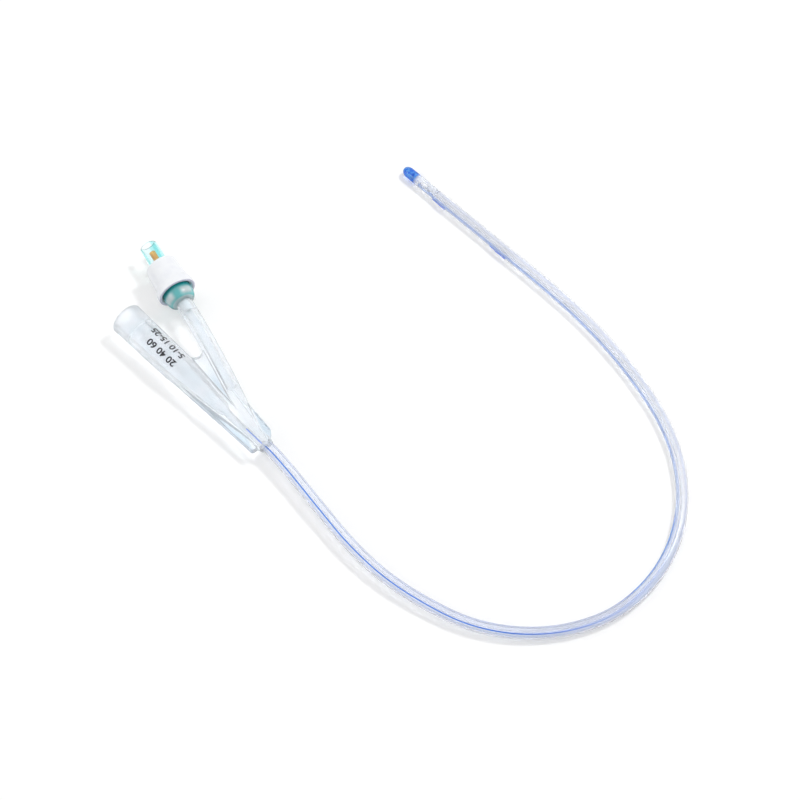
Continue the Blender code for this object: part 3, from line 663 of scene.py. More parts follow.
# %% [markdown]
# ### Joining and melting
#
# A Boolean union keeps only the outside. The remesh then gives even quads all over, and a few
# rounds of smoothing take the last roughness out. A bevel along the joins is the other way, but
# it breaks easily where three round forms meet.

# %% Join the forms
VOXEL = 0.00026

for form in (arm, web, ring):
    apply_modifier(body, "BOOLEAN", operation="UNION", object=form)
    bpy.data.objects.remove(form)
apply_modifier(body, "REMESH", mode="VOXEL", voxel_size=VOXEL, adaptivity=0.0)
apply_modifier(body, "SMOOTH", factor=0.5, iterations=5)
print("connector after the remesh:", len(body.data.polygons), "faces")

# %% [markdown]
# ### Bores
#
# The wide bore narrows from the mouth to a neck and goes on as the shaft's own bore. Each bore
# is a straight tube, bent along its path and cut out, with ends that run past the faces they
# open through. Where clear silicone holds a bore, the eye sees the bore's wall, so it has to be
# there.

# %% Cut the wide bore
MOUTH_WALL = 0.00213
CONE_WALL = 0.0017
BORE_LENGTH = 0.0461
NECK_Y = FUNNEL_LENGTH - BORE_LENGTH
NECK_LENGTH = 0.0025
RIM_BREAK = 0.0003
CUT_PAST = 0.001
BORE_SECTIONS = 12
BORE_STEPS = 80


def bore_radius(y):
    """Inner radius of the funnel between its neck and its mouth."""
    share = (y - NECK_Y) / BORE_LENGTH
    return funnel_radius(y) - (CONE_WALL + (MOUTH_WALL - CONE_WALL) * share)


def bore_side(y):
    """How far the bore's axis has moved over from the funnel's."""
    return funnel_side(y) + DRAIN_BORE[0] * ease((NECK_Y - y) / NECK_Y * 2.0)


def cut(body, cutter):
    """Cut one form out of the connector, and throw it away."""
    apply_modifier(body, "BOOLEAN", operation="DIFFERENCE", object=cutter)
    bpy.data.objects.remove(cutter)


stations = [(-CUT_PAST, DRAIN_BORE[2]), (NECK_Y - NECK_LENGTH, DRAIN_BORE[2])]
heights = [NECK_Y + (FUNNEL_LENGTH - RIM_BREAK - NECK_Y) * i / BORE_SECTIONS
           for i in range(BORE_SECTIONS + 1)]
stations += [(y, bore_radius(y)) for y in heights]
mouth = bore_radius(FUNNEL_LENGTH) + RIM_BREAK
stations += [(FUNNEL_LENGTH, mouth), (FUNNEL_LENGTH + CUT_PAST, mouth)]
span = FUNNEL_LENGTH + 2 * CUT_PAST
axis_heights = [span * i / BORE_STEPS - CUT_PAST for i in range(BORE_STEPS + 1)]
path = [Vector((bore_side(y), y, 0.0)) for y in axis_heights]
stations = [(y + CUT_PAST, r) for y, r in stations]
drain = straight_tube("drain_form", stations, sides=72, cut_to=CONNECTOR_CUT)
bend(drain, path)
cut(body, drain)
print("the mouth's bore is", round(mouth * 2000, 2), "mm wide")

# %% [markdown]
# The arm has a fine bore of its own. It comes down from the valve and narrows into the hair-thin
# channel that goes on in the shaft.

# %% Cut the arm's bore
ARM_BORE_RADIUS = 0.0012
ARM_BORE_END = 0.33      # share of the arm, from its root, where the wide part of its bore ends

arm_way = list(reversed(arm_line[int(ARM_STEPS * ARM_BORE_END):]))
outward = (arm_way[0] - arm_way[1]).normalized()
arm_way.insert(0, arm_way[0] + outward * CUT_PAST)
way_length = sum((b - a).length for a, b in zip(arm_way, arm_way[1:]))
fill_x = SHAFT_EXIT_SIDE + FILL_BORE[0]
channel_end = Vector((fill_x, -CUT_PAST, 0.0))
channel_length = (Vector((fill_x, 0.0, 0.0)) - arm_way[-1]).length
fine = ARM_BORE_RADIUS - FILL_BORE[2]
stations = [(0.0, ARM_BORE_RADIUS), (way_length, ARM_BORE_RADIUS),
            (way_length + fine, FILL_BORE[2]),
            (way_length + channel_length + CUT_PAST, FILL_BORE[2])]
fill = straight_tube("fill_form", stations, sides=24, cut_to=CONNECTOR_CUT)
bend(fill, arm_way + [Vector((fill_x, 0.0, 0.0)), channel_end])
cut(body, fill)
print("the arm's bore is", round((way_length + channel_length) * 1000, 1), "mm long")

# %% [markdown]
# Two seats are left: a socket in the arm for the valve's stem, and one inside the neck ring for
# the end of the shaft. After them the connector leaves its flat plane for its place.

# %% Cut the seats of the valve and the shaft
STEM_RADIUS = 0.0016
STEM_LENGTH = 0.0040
STEM_CLEAR = 0.0001

socket_radius = STEM_RADIUS + STEM_CLEAR
socket = straight_tube("socket_form", [(-STEM_LENGTH - GAP, socket_radius),
                                       (CUT_PAST, socket_radius)], sides=48)
settle(socket, plane_place.inverted() @ valve_place @ Matrix.Rotation(-math.pi / 2, 4, "Y"))
cut(body, socket)
seat_radius = SHAFT_RADIUS + GAP / 6
seat = straight_tube("shaft_seat", [(-NECK_RING_LENGTH - CUT_PAST, seat_radius),
                                    (-GAP / 3, seat_radius)], sides=56)
settle(seat, hub_turn)
cut(body, seat)
settle(body, plane_place)
smooth(body, 40.0)
print("connector:", len(body.data.polygons), "faces")

# %% [markdown]
# ## The stripe's end inside the hub
#
# The blue stripe of the shaft goes on for seven millimetres inside the clear hub. It is a thin
# strip that lies in the silicone, just under where the shaft's surface would be. A mask on the
# hub's own material would lie on the outside, where it would look too wide and too near.

# %% Stripe inside the hub
STRIPE_IN_HUB = 0.0072
STRIPE_DEGREES = -29.0
STRIPE_WIDTH = 0.00034
STRIPE_THICKNESS = 0.00008
STRIPE_EDGE = 0.00003
STRIPE_OFF_AXIS = 0.00185
STRIPE_CLEAR = 0.0001

bpy.ops.object.select_all(action="DESELECT")
bpy.ops.mesh.primitive_cube_add(size=1.0)
inner_stripe = bpy.context.object
inner_stripe.name = "stripe_end"
edit(inner_stripe)
bpy.ops.transform.resize(value=(STRIPE_WIDTH, STRIPE_IN_HUB, STRIPE_THICKNESS))
bpy.ops.mesh.bevel(offset=STRIPE_EDGE, segments=2, affect="EDGES")
leave_edit()
turn = Matrix.Rotation(math.radians(STRIPE_DEGREES), 4, "Y")
inwards = Matrix.Translation((0.0, STRIPE_IN_HUB / 2 + STRIPE_CLEAR, 0.0))
lift = inwards @ turn @ Matrix.Translation((0, 0, STRIPE_OFF_AXIS))
settle(inner_stripe, plane_place @ Matrix.Translation((SHAFT_EXIT_SIDE, 0.0, 0.0)) @ lift)
print("stripe end:", len(inner_stripe.data.polygons), "faces")

# %% [markdown]
# ## The valve
#
# The valve is moulded plastic, and all its parts are round, so each is a turned section. A clear
# teal tube takes a syringe's nose, an opaque white collar tells the size by its colour, and a
# clear dome plugs into the arm. Inside, an amber plunger with a soft seal is pressed shut by a
# spring. All of these share one axis, and heights are measured along it from the arm's end.

# %% Luer tube
VALVE_LENGTH = 0.0245
LUER_DEPTH = 0.0081
SEAT_THICKNESS = 0.0018
COLLAR_TOP = 0.0161
COLLAR_TOP_WEB = 0.0012
HOUSING_SHOULDER = 0.0090
HOUSING_RADIUS = 0.0040
LUER_RADIUS = 0.00303
LUER_MOUTH_RADIUS = 0.00287
LUER_MOUTH_BORE = 0.00215
LUER_FLOOR_BORE = 0.00193
SEAT_BORE = 0.00135
SKIRT_RADIUS = 0.0034
SKIRT_BORE = 0.0026
SKIRT_LENGTH = 0.0026
LIP = 0.00025

floor_height = VALVE_LENGTH - LUER_DEPTH
seat_height = floor_height - SEAT_THICKNESS
shoulder_top = COLLAR_TOP - COLLAR_TOP_WEB - GAP
skirt_end = HOUSING_SHOULDER - SKIRT_LENGTH
outline = arc((LUER_MOUTH_RADIUS - LIP, VALVE_LENGTH - LIP), LIP, 90, 0, 4)
outline += [(LUER_RADIUS, shoulder_top), (HOUSING_RADIUS, shoulder_top)]
outline += [(HOUSING_RADIUS, HOUSING_SHOULDER), (SKIRT_RADIUS, HOUSING_SHOULDER)]
outline += [(SKIRT_RADIUS, skirt_end), (SKIRT_BORE, skirt_end), (SKIRT_BORE, seat_height)]
outline += [(SEAT_BORE, seat_height), (SEAT_BORE, floor_height), (LUER_FLOOR_BORE, floor_height)]
outline += arc((LUER_MOUTH_BORE + LIP / 2, VALVE_LENGTH - LIP / 2), LIP / 2, 180, 90, 3)
luer_tube = turned("luer_tube", outline)
settle(luer_tube, valve_place)

# %% Collar
COLLAR_BOTTOM = 0.0042
COLLAR_TOP_RADIUS = 0.00537
COLLAR_WAIST_RADIUS = 0.0057
COLLAR_FLANGE_RADIUS = 0.00645
COLLAR_FLARE = 0.0026
FLARE_STEPS = 8
COLLAR_FLANGE = 0.0017
COLLAR_EDGE = 0.0010
COLLAR_MOUTH_RADIUS = 0.0056
COLLAR_CHAMFER = 0.0007
BASE_RADIUS = 0.00485
BASE_CLEAR = 0.00015
HOUSING_CLEAR = 0.0002
LUER_CLEAR = 0.0001

edge = COLLAR_EDGE / 3
waist = COLLAR_BOTTOM + COLLAR_FLANGE + COLLAR_FLARE
outline = arc((COLLAR_TOP_RADIUS - COLLAR_EDGE, COLLAR_TOP - COLLAR_EDGE), COLLAR_EDGE, 90, 0, 8)
widening = COLLAR_FLANGE_RADIUS - COLLAR_WAIST_RADIUS
outline += [(COLLAR_WAIST_RADIUS + widening * ease(i / FLARE_STEPS),
             waist - COLLAR_FLARE * i / FLARE_STEPS) for i in range(FLARE_STEPS + 1)]
outline += arc((COLLAR_FLANGE_RADIUS - edge, COLLAR_BOTTOM + edge), edge, 0, -90, 5)
outline += [(COLLAR_MOUTH_RADIUS, COLLAR_BOTTOM)]
outline += [(BASE_RADIUS + BASE_CLEAR, height)
            for height in (COLLAR_BOTTOM + COLLAR_CHAMFER, HOUSING_SHOULDER)]
outline += [(HOUSING_RADIUS + HOUSING_CLEAR, height)
            for height in (HOUSING_SHOULDER, COLLAR_TOP - COLLAR_TOP_WEB)]
outline += [(LUER_RADIUS + LUER_CLEAR, height)
            for height in (COLLAR_TOP - COLLAR_TOP_WEB, COLLAR_TOP)]
collar = turned("white_collar", outline)
settle(collar, valve_place)

# %% Dome
BASE_WALL = 0.00115
BASE_FLOOR = 0.0011
DOME_HEIGHT = 0.0028
DOME_END_RADIUS = 0.0033
STEM_BORE = 0.0006
SPRING_SEAT = 0.0057
SPRING_PAD_RADIUS = 0.0022
SPRING_PAD_THICKNESS = 0.0006

wall = BASE_RADIUS - BASE_WALL
top = HOUSING_SHOULDER - GAP
width = BASE_RADIUS - DOME_END_RADIUS
outline = [(wall, top), (BASE_RADIUS, top)]
outline += [(DOME_END_RADIUS + width * math.cos(math.radians(a)),
             DOME_HEIGHT * (1 - math.sin(math.radians(a)))) for a in range(0, 91, 9)]
outline += [(STEM_RADIUS, 0.0), (STEM_RADIUS, RIM_BREAK - STEM_LENGTH)]
outline += [(STEM_RADIUS - RIM_BREAK, -STEM_LENGTH), (STEM_BORE, -STEM_LENGTH)]
outline += [(STEM_BORE, SPRING_SEAT), (SPRING_PAD_RADIUS, SPRING_SEAT)]
outline += [(radius, SPRING_SEAT - SPRING_PAD_THICKNESS)
            for radius in (SPRING_PAD_RADIUS, STEM_RADIUS)]
outline.append((STEM_RADIUS, BASE_FLOOR))
inner = wall - DOME_END_RADIUS + BASE_WALL / 2
outline += [(wall - inner * (1 - math.cos(math.radians(a))),
             BASE_FLOOR + (DOME_HEIGHT - BASE_FLOOR / 2) * (1 - math.sin(math.radians(a))))
            for a in range(90, -1, -9)]
dome = turned("valve_dome", outline)
settle(dome, valve_place)

# %% Plunger and seal
PLUNGER_TOP = 0.0215
PLUNGER_RADIUS = 0.0010
HEAD_RADIUS = 0.0022
HEAD_THICKNESS = 0.0010
PLUNGER_EDGE = 0.0002
PLUNGER_DIMPLE = 0.0001
NARROW_END_RADIUS = 0.0004
TAIL_RADIUS = 0.0007
TAIL_LENGTH = 0.0024
TAIL_CHAMFER = 0.0003
SEAL_RADIUS = 0.0021
SEAL_THICKNESS = 0.0012
SEAL_EDGE = 0.0003
SEAL_CLEAR = 0.0001

seal_top = seat_height - GAP
head_top = seal_top - SEAL_THICKNESS - GAP
head_bottom = head_top - HEAD_THICKNESS
tail_end = head_bottom - TAIL_LENGTH
outline = [(0.0, PLUNGER_TOP - PLUNGER_DIMPLE), (NARROW_END_RADIUS, PLUNGER_TOP)]
outline += arc((PLUNGER_RADIUS - PLUNGER_EDGE, PLUNGER_TOP - PLUNGER_EDGE), PLUNGER_EDGE, 90, 0, 4)
outline += [(PLUNGER_RADIUS, head_top), (HEAD_RADIUS, head_top), (HEAD_RADIUS, head_bottom)]
outline += [(TAIL_RADIUS, head_bottom), (TAIL_RADIUS, tail_end + TAIL_CHAMFER)]
outline += [(NARROW_END_RADIUS, tail_end), (0.0, tail_end)]
plunger = turned("amber_plunger", outline, closed=False, steps=64)
settle(plunger, valve_place)

seal_bottom = seal_top - SEAL_THICKNESS
seal_bore = PLUNGER_RADIUS + SEAL_CLEAR
outline = arc((SEAL_RADIUS - SEAL_EDGE, seal_top - SEAL_EDGE), SEAL_EDGE, 90, 0, 3)
outline += arc((SEAL_RADIUS - SEAL_EDGE, seal_bottom + SEAL_EDGE), SEAL_EDGE, 0, -90, 3)
outline += [(seal_bore, seal_bottom), (seal_bore, seal_top)]
seal = turned("seal_ring", outline, steps=64)
settle(seal, valve_place)

# %% [markdown]
# ### The spring
#
# A ring of wire section stands beside the axis, and a Screw modifier winds it up into a helix.
# Its two open ends are filled.

# %% Spring
WIRE_RADIUS = 0.00018
COIL_RADIUS = 0.0013
TURNS = 5
WIRE_SIDES = 12
STEPS_A_TURN = 32
spring_low = SPRING_SEAT + GAP + WIRE_RADIUS
spring_high = head_bottom - GAP - WIRE_RADIUS

bpy.ops.object.select_all(action="DESELECT")
bpy.ops.mesh.primitive_circle_add(vertices=WIRE_SIDES, radius=WIRE_RADIUS,
                                  rotation=(math.pi / 2, 0.0, 0.0),
                                  location=(COIL_RADIUS, 0.0, spring_low))
spring = bpy.context.object
spring.name = "coil_spring"
bpy.ops.object.transform_apply(location=True, rotation=True, scale=True)
apply_modifier(spring, "SCREW", axis="Z", angle=math.tau, iterations=TURNS, steps=STEPS_A_TURN,
               render_steps=STEPS_A_TURN, screw_offset=(spring_high - spring_low) / TURNS,
               use_merge_vertices=True, merge_threshold=0.00001)
edit(spring)
bpy.ops.mesh.fill_holes(sides=WIRE_SIDES)
bpy.ops.mesh.select_all(action="SELECT")
bpy.ops.mesh.normals_make_consistent(inside=False)
leave_edit()
smooth(spring)
settle(spring, valve_place)
print("spring:", len(spring.data.polygons), "faces")

# %% [markdown]
# ## Numbers on the funnel
#
# The real funnel carries a small black print. Here plain numbers stand in its place, in the same
# size and at the same spot. Text becomes a mesh, is cut into narrow rows, and is pressed onto
# the curved wall with Shrinkwrap.

# %% Printed numbers
PRINT_HEIGHT = 0.0023
PRINT_LIFT = 0.00002
PRINT_START = 0.0386
PRINT_ROWS = (("20 40 60", -23.0, 0.0124), ("5-10 15-25", 20.0, 0.0144))
LETTER_WEIGHT = 0.027      # how far each outline grows, as a share of the font's size
PRINT_SLICES = 11


def printed_row(index, words, degrees, length):
    """One row of numbers along the funnel, at an angle from its top."""
    bpy.ops.object.select_all(action="DESELECT")
    bpy.ops.object.text_add()
    text = bpy.context.object
    text.name = f"print_row_{index}"
    text.data.body = words
    text.data.offset = LETTER_WEIGHT
    bpy.ops.object.convert(target="MESH")
    text.scale = (length / text.dimensions.x, PRINT_HEIGHT / text.dimensions.y, 1.0)
    bpy.ops.object.transform_apply(location=True, rotation=True, scale=True)
    edit(text)
    bpy.ops.mesh.remove_doubles(threshold=WELD)
    for i in range(1, PRINT_SLICES + 1):
        bpy.ops.mesh.select_all(action="SELECT")
        bpy.ops.mesh.bisect(plane_co=(0.0, PRINT_HEIGHT * i / PRINT_SLICES, 0.0),
                            plane_no=(0.0, 1.0, 0.0))
    bpy.ops.mesh.select_all(action="SELECT")
    bpy.ops.transform.translate(value=(0.0, -PRINT_HEIGHT / 2, 0.0))
    bpy.ops.mesh.quads_convert_to_tris()
    leave_edit()
    above = Matrix.Translation((0.0, PRINT_START, 2 * MOUTH_RADIUS))
    along = above @ Matrix.Rotation(math.pi / 2, 4, "Z")
    text.matrix_world = plane_place @ Matrix.Rotation(math.radians(degrees), 4, "Y") @ along
    apply_modifier(text, "SHRINKWRAP", target=body, wrap_method="PROJECT", use_project_z=True,
                   use_negative_direction=True, use_positive_direction=False, offset=PRINT_LIFT,
                   wrap_mode="ABOVE_SURFACE")
    select_only(text)
    bpy.ops.object.transform_apply(location=True, rotation=True, scale=True)
    print(text.name, "has", len(text.data.polygons), "faces")
    return text


prints = [printed_row(i, *row) for i, row in enumerate(PRINT_ROWS)]

# %% [markdown]
# # Materials
#
# Shader maths is easier to read as an expression than as a row of nodes. `Wire` wraps a node's
# output, and its operators add the Math nodes. A colour goes through Mix, because a Math node
# would turn it grey. Every node comes from one method, `node`, which sets its settings first and
# then its inputs in order. The nodes could be placed by hand in the editor, but then the same
# noise or mask is wired anew for each material.

# %% A small shader language
SEAM_START = -17.0
SEAM_TURNS = ((0.050, 0.100, -8.0), (0.115, 0.245, 50.0))      # from, to along the tube, and degrees


class Wire:
    """An output socket with arithmetic."""

    def __init__(self, shader, socket):
        self.shader = shader
        self.socket = socket

    def math(self, operation, *others):
        """A Math node on this wire and the others."""
        return self.shader.node("ShaderNodeMath", {"operation": operation}, self, *others)

    def __add__(self, other):
        return self.math("ADD", other)

    __radd__ = __add__

    def __mul__(self, other):
        return self.math("MULTIPLY", other)

    __rmul__ = __mul__

    def __sub__(self, other):
        return self.math("SUBTRACT", other)

    def __rsub__(self, other):
        return self.shader.node("ShaderNodeMath", {"operation": "SUBTRACT"}, other, self)

    def __truediv__(self, other):
        return self.math("DIVIDE", other)

    def __rtruediv__(self, other):
        return self.shader.node("ShaderNodeMath", {"operation": "DIVIDE"}, other, self)

    def abs(self):
        return self.math("ABSOLUTE")

    def ramp(self, start, end):
        """0 at start and 1 at end, smooth between. Start may be the larger one."""
        settings = {"interpolation_type": "SMOOTHSTEP"}
        return self.shader.node("ShaderNodeMapRange", settings, self, start, end, 0.0, 1.0)

    def within(self, centre, half, soft):
        """1 inside a band round centre, fading over soft beyond half."""
        return (self - centre).abs().ramp(half + soft, half)

    def stretch(self, start, full, fade, end):
        """1 from full to fade, and 0 before start and after end."""
        return self.ramp(start, full) * self.ramp(end, fade)

    def either(self, *others):
        """The strongest of several masks."""
        strongest = self
        for other in others:
            strongest = strongest.math("MAXIMUM", other)
        return strongest


class Shader:
    """A material under construction."""

    def __init__(self, name):
        self.material = bpy.data.materials.new(name)
        self.material.use_nodes = True
        self.tree = self.material.node_tree
        self.skin = self.tree.nodes["Principled BSDF"]

    def node(self, kind, settings, *values, output=None):
        """Any node: its settings first, then the values or wires of its inputs in order. Gives
        the output of this name, or else the first."""
        made = self.tree.nodes.new(kind)
        for name, value in settings.items():
            setattr(made, name, value)
        sockets = [socket for socket in made.inputs if socket.enabled]
        for socket, value in zip(sockets, values):
            self.feed(socket, value)
        outputs = {socket.name: socket for socket in made.outputs if socket.enabled}
        return Wire(self, outputs[output or next(iter(outputs))])

    def feed(self, socket, value):
        """Link a wire to a socket, or set a plain value. None leaves it as it is."""
        if isinstance(value, Wire):
            self.tree.links.new(value.socket, socket)
        elif value is not None:
            socket.default_value = value

    def set(self, **inputs):
        """Set the main shader's inputs: words_like_this name them."""
        for name, value in inputs.items():
            self.feed(self.skin.inputs[name.replace("_", " ")], value)

    def place(self):
        """Object coordinates."""
        return self.node("ShaderNodeTexCoord", {}, output="Object")

    def first_two(self, vector):
        """The first two parts of a vector."""
        return [self.node("ShaderNodeSeparateXYZ", {}, vector, output=part) for part in "XY"]

    def along_axis(self, foot, axis):
        """Distance along an axis from a point on it."""
        kind = "ShaderNodeVectorMath"
        offset = self.node(kind, {"operation": "SUBTRACT"}, self.place(), tuple(foot))
        return self.node(kind, {"operation": "DOT_PRODUCT"}, offset, tuple(axis))

    def wrap(self):
        """A wrapped tube's own coordinates: length along it, and degrees round it from its upper
        seam, which wanders a little to either side, as the extrusion twists."""
        u, v = self.first_two(self.node("ShaderNodeUVMap", {"uv_map": "wrap"}))
        along = u * ROUTE_LENGTH
        turn = SEAM_START
        for start, end, degrees in SEAM_TURNS:
            turn = along.ramp(start, end) * degrees + turn
        return along, (v - 0.5) * 360.0 - turn

    def noise(self, scale, detail=2.0):
        """Noise around one half, with so many lumps to the metre."""
        return self.node("ShaderNodeTexNoise", {}, self.place(), scale, detail)

    def ray(self, kind):
        """1 for rays of one kind, such as the camera's."""
        return self.node("ShaderNodeLightPath", {}, output=kind)

    def mix(self, share, first, second):
        """Two colours, mixed by a share."""
        return self.node("ShaderNodeMix", {"data_type": "RGBA"}, share, first, second)

    def bump(self, height, strength, distance=0.0001):
        """Lean the surface as if it had these heights. The filter's width stays as it is."""
        self.set(Normal=self.node("ShaderNodeBump", {}, strength, distance, None, height))

    def lay_over(self, share, other):
        """Mix another shader over the Principled one, by a share."""
        skin = Wire(self, self.skin.outputs[0])
        blend = self.node("ShaderNodeMixShader", {}, share, skin, other)
        self.feed(self.tree.nodes["Material Output"].inputs["Surface"], blend)

    def let_lamps_through(self, clear_to, dark_from, least, most=1.0):
        """Let lamp light pass where it falls straight on, and hold it back where it grazes."""
        graze = self.node("ShaderNodeLayerWeight", {}, 0.5, output="Facing")
        held = graze.ramp(clear_to, dark_from) * (most - least) + least
        self.lay_over(self.ray("Is Shadow Ray") * (1.0 - held),
                      self.node("ShaderNodeBsdfTransparent", {}))


def colour(red, green, blue):
    """A colour given as it looks on screen, from 0 to 255, as Blender's linear values."""
    parts = []
    for value in (red, green, blue):
        value /= 255.0
        parts.append(value / 12.92 if value <= 0.04045 else ((value + 0.055) / 1.055) ** 2.4)
    return (*parts, 1.0)


def dress(piece, shader):
    """Give a piece one material."""
    piece.data.materials.clear()
    piece.data.materials.append(shader.material)


# %% [markdown]
# ## Silicone
#
# Clear silicone bends light less than glass does, and each wall that a ray crosses tints it a
# little. So its colours are nearly white, and still look deep where many walls lie behind one
# another. The connector is frosted by its mould, so it has a share of milky scatter and some
# roughness, most of it at the mouth. The thin web looks bluish, and a mask finds it: it lies off
# the funnel's side and off the arm's side at once.
#
# Lamp light that bends through clear walls makes a very grainy picture. `let_lamps_through`
# lets a share of it go straight on instead, so that a clear piece casts a pale, quiet shadow.

# %% Frosted silicone of the connector
FROST_START = 0.0560
FROST_FADE = 0.003
CLEAR_WHITE = colour(249, 251, 254)
WEB_BLUE = colour(220, 232, 242)
FUNNEL_FADE = 0.0004
ARM_FADE = 0.0003
WEB_BLUE_TO = 0.024
WEB_BLUE_GONE = 0.034
ARM_CURVE = 1.07      # how fast the arm's inner line bends back, per metre

frosted = Shader("frosted_silicone")
x, y = frosted.first_two(frosted.place())
x = x - DATUM.x
y = y - DATUM.y
cone = (y / CONE_LENGTH).math("MAXIMUM", 0.0).math("MINIMUM", 1.0)
funnel_edge = HUB_RADIUS + (BARREL_RADIUS - HUB_RADIUS) * cone.math("POWER", CONE_POWER)
off_funnel = (x - SHAFT_EXIT_SIDE * y.ramp(HUB_BEND_LENGTH, 0.0)).abs() - funnel_edge
arm_side = ARM_ROOT.x + (y - ARM_ROOT.y) * math.tan(ARM_ROOT_YAW)
arm_side = arm_side - (y - ARM_ROOT.y) * (y - ARM_ROOT.y) * ARM_CURVE
off_arm = (x - arm_side).abs() - ARM_RADIUS
in_web = off_funnel.ramp(-FUNNEL_FADE, FUNNEL_FADE) * off_arm.ramp(-ARM_FADE, FUNNEL_FADE)
in_web = in_web * y.ramp(WEB_BLUE_GONE, WEB_BLUE_TO)
cloud = frosted.noise(260.0, detail=3.0)
at_mouth = y.ramp(FROST_START, FROST_START + FROST_FADE)
pale = frosted.mix(cloud.ramp(0.35, 0.65), colour(243, 248, 252), CLEAR_WHITE)
frosted.set(Base_Color=frosted.mix(in_web, pale, WEB_BLUE),
            Roughness=cloud * 0.06 + at_mouth * 0.16 + 0.19,
            IOR=1.38, Transmission_Weight=0.78)
ripple = frosted.noise(1400.0) + at_mouth * frosted.noise(5000.0) * 2.0
frosted.bump(ripple, strength=0.08)
frosted.let_lamps_through(clear_to=0.15, dark_from=0.42, least=0.10)
dress(body, frosted)

# %% [markdown]
# ### The shaft's lines
#
# The shaft is clearer than the connector. A blue stripe is moulded into its wall, and the two
# bores and the thick wall between them give lavender lines beside it. A white line beside the
# stripe is a painted highlight. They all follow the tube, so they are masks on its wrapped
# coordinates: `around` is in degrees from the upper seam, with the loop's inner side positive,
# and `along` in metres from the connector. Past the loop's bend the tube has turned: the stripe
# fades from the top, follows the inner edge for a while, and then shows only as a pale blue band
# there.

# %% Shaft with its blue stripe
STRIPE_BLUE = colour(52, 124, 236)
BAND_BLUE = colour(198, 216, 254)
PALE_LAVENDER = colour(251, 252, 255)
GREY_LAVENDER = colour(220, 227, 246)
HIGHLIGHT_WHITE = colour(255, 255, 255)

sheath = Shader("striped_silicone")
along, around = sheath.wrap()
upper_line = around.within(-10.0, 4.0, 3.0) * along.ramp(0.150, 0.100)
at_bend = along.within(0.135, 0.010, 0.035)
inner_edge = around.within(70.0, 10.0, 5.0) * along.stretch(0.132, 0.144, 0.168, 0.178)
inner_band = around.within(50.0, 18.0, 8.0) * along.ramp(0.140, 0.170)
broad_line = around.within(-6.0, 10.0, 16.0) * at_bend * 0.5
stripe = upper_line.either(inner_edge)
band = inner_band.either(broad_line)
lavender = around.within(-40.0, 6.0, 8.0).either(
    around.within(60.0, 3.0, 3.0),
    around.within(20.0, 2.0, 3.0) * along.ramp(0.200, 0.225),
    around.within(74.0, 3.0, 3.0) * along.ramp(0.140, 0.120),
    around.ramp(0.0, 12.0) * along.within(0.100, 0.035, 0.035) * 0.6,
    around.ramp(5.0, 30.0) * along.ramp(0.065, 0.045) * 0.45)
lines = sheath.mix(lavender, PALE_LAVENDER, GREY_LAVENDER)
# painted highlight: a white line beside the stripe
lines = sheath.mix(around.within(-21.0, 5.0, 3.0), lines, HIGHLIGHT_WHITE)
lines = sheath.mix(band, lines, BAND_BLUE)
sheath.set(Base_Color=sheath.mix(stripe, lines, STRIPE_BLUE),
           Roughness=sheath.noise(300.0) * 0.04 + 0.17,
           IOR=1.38, Transmission_Weight=0.84)
sheath.bump(sheath.noise(150.0, detail=1.0), strength=0.01)
sheath.let_lamps_through(clear_to=0.02, dark_from=0.20, least=0.45, most=0.85)
dress(shaft, sheath)

# %% [markdown]
# ### The balloon's film
#
# The film is so thin that it is nearly all Alpha. A second clear wall so close to the shaft's
# own would double every line and cost many bounces. It shows as a pale blue side, as two deep
# blue arcs where it is bonded, and as faint folds across it between them.

# %% Balloon
BOND_BLUE = colour(24, 104, 236)
FIRST_BOND = (0.2864, 0.2870, 0.2937, 0.2939)      # start, full, fade and end along the tube
LAST_BOND = (0.3142, 0.3144, 0.3198, 0.3212)
CREASED = (0.294, 0.296, 0.312, 0.314)
FOLDS_PER_METRE = 250.0
END_HIDDEN = 0.0001
END_SHOWN = 0.0006

film = Shader("balloon_film")
along, around = film.wrap()
bonds = along.stretch(*FIRST_BOND) + along.stretch(*LAST_BOND)
edge_blue = around.within(72.0, 8.0, 4.0) * bonds
inner_third = around.within(46.0, 18.0, 6.0)
not_ends = along.stretch(SLEEVE_START + END_HIDDEN, SLEEVE_START + END_SHOWN,
                         SHAFT_END - END_SHOWN, SHAFT_END - END_HIDDEN)
lengthwise = film.node("ShaderNodeCombineXYZ", {}, along, 0.0, 0.0)
folds = film.node("ShaderNodeTexWave", {"wave_type": "BANDS", "bands_direction": "X"},
                  lengthwise, FOLDS_PER_METRE, 1.0).ramp(0.3, 0.8)
creased = around.ramp(26.0, 32.0) * along.stretch(*CREASED)
band = inner_third * (1.0 - creased * folds * 0.5)
lumen = around.within(-22.0, 1.5, 2.0)
veil = film.mix(lumen, colour(252, 253, 255), colour(196, 200, 214))
film.set(Base_Color=film.mix(edge_blue, film.mix(band, veil, BAND_BLUE), BOND_BLUE),
         Roughness=film.noise(700.0) * 0.08 + 0.12, IOR=1.41,
         Alpha=(edge_blue * 0.88 + inner_third * 0.24 + lumen * 0.20 + 0.04) * not_ends)
film.bump(film.noise(900.0), strength=0.08)
dress(sleeve, film)

# %% [markdown]
# ### The tip and the stripe's end
#
# Only the tip's nose is dyed. It is milkier than the shaft, so that its blue shows in a thin
# wall, and deeper along its sides. The strip inside the hub gets a plain deep blue, because the
# frosted hub in front of it already pales and softens it.

# %% Blue tip
BLUE_LENGTH = 0.0062
BLUE_FADE = 0.0004
SIDE_BAND_TO = 0.3270
SIDE_BAND_GONE = 0.3274

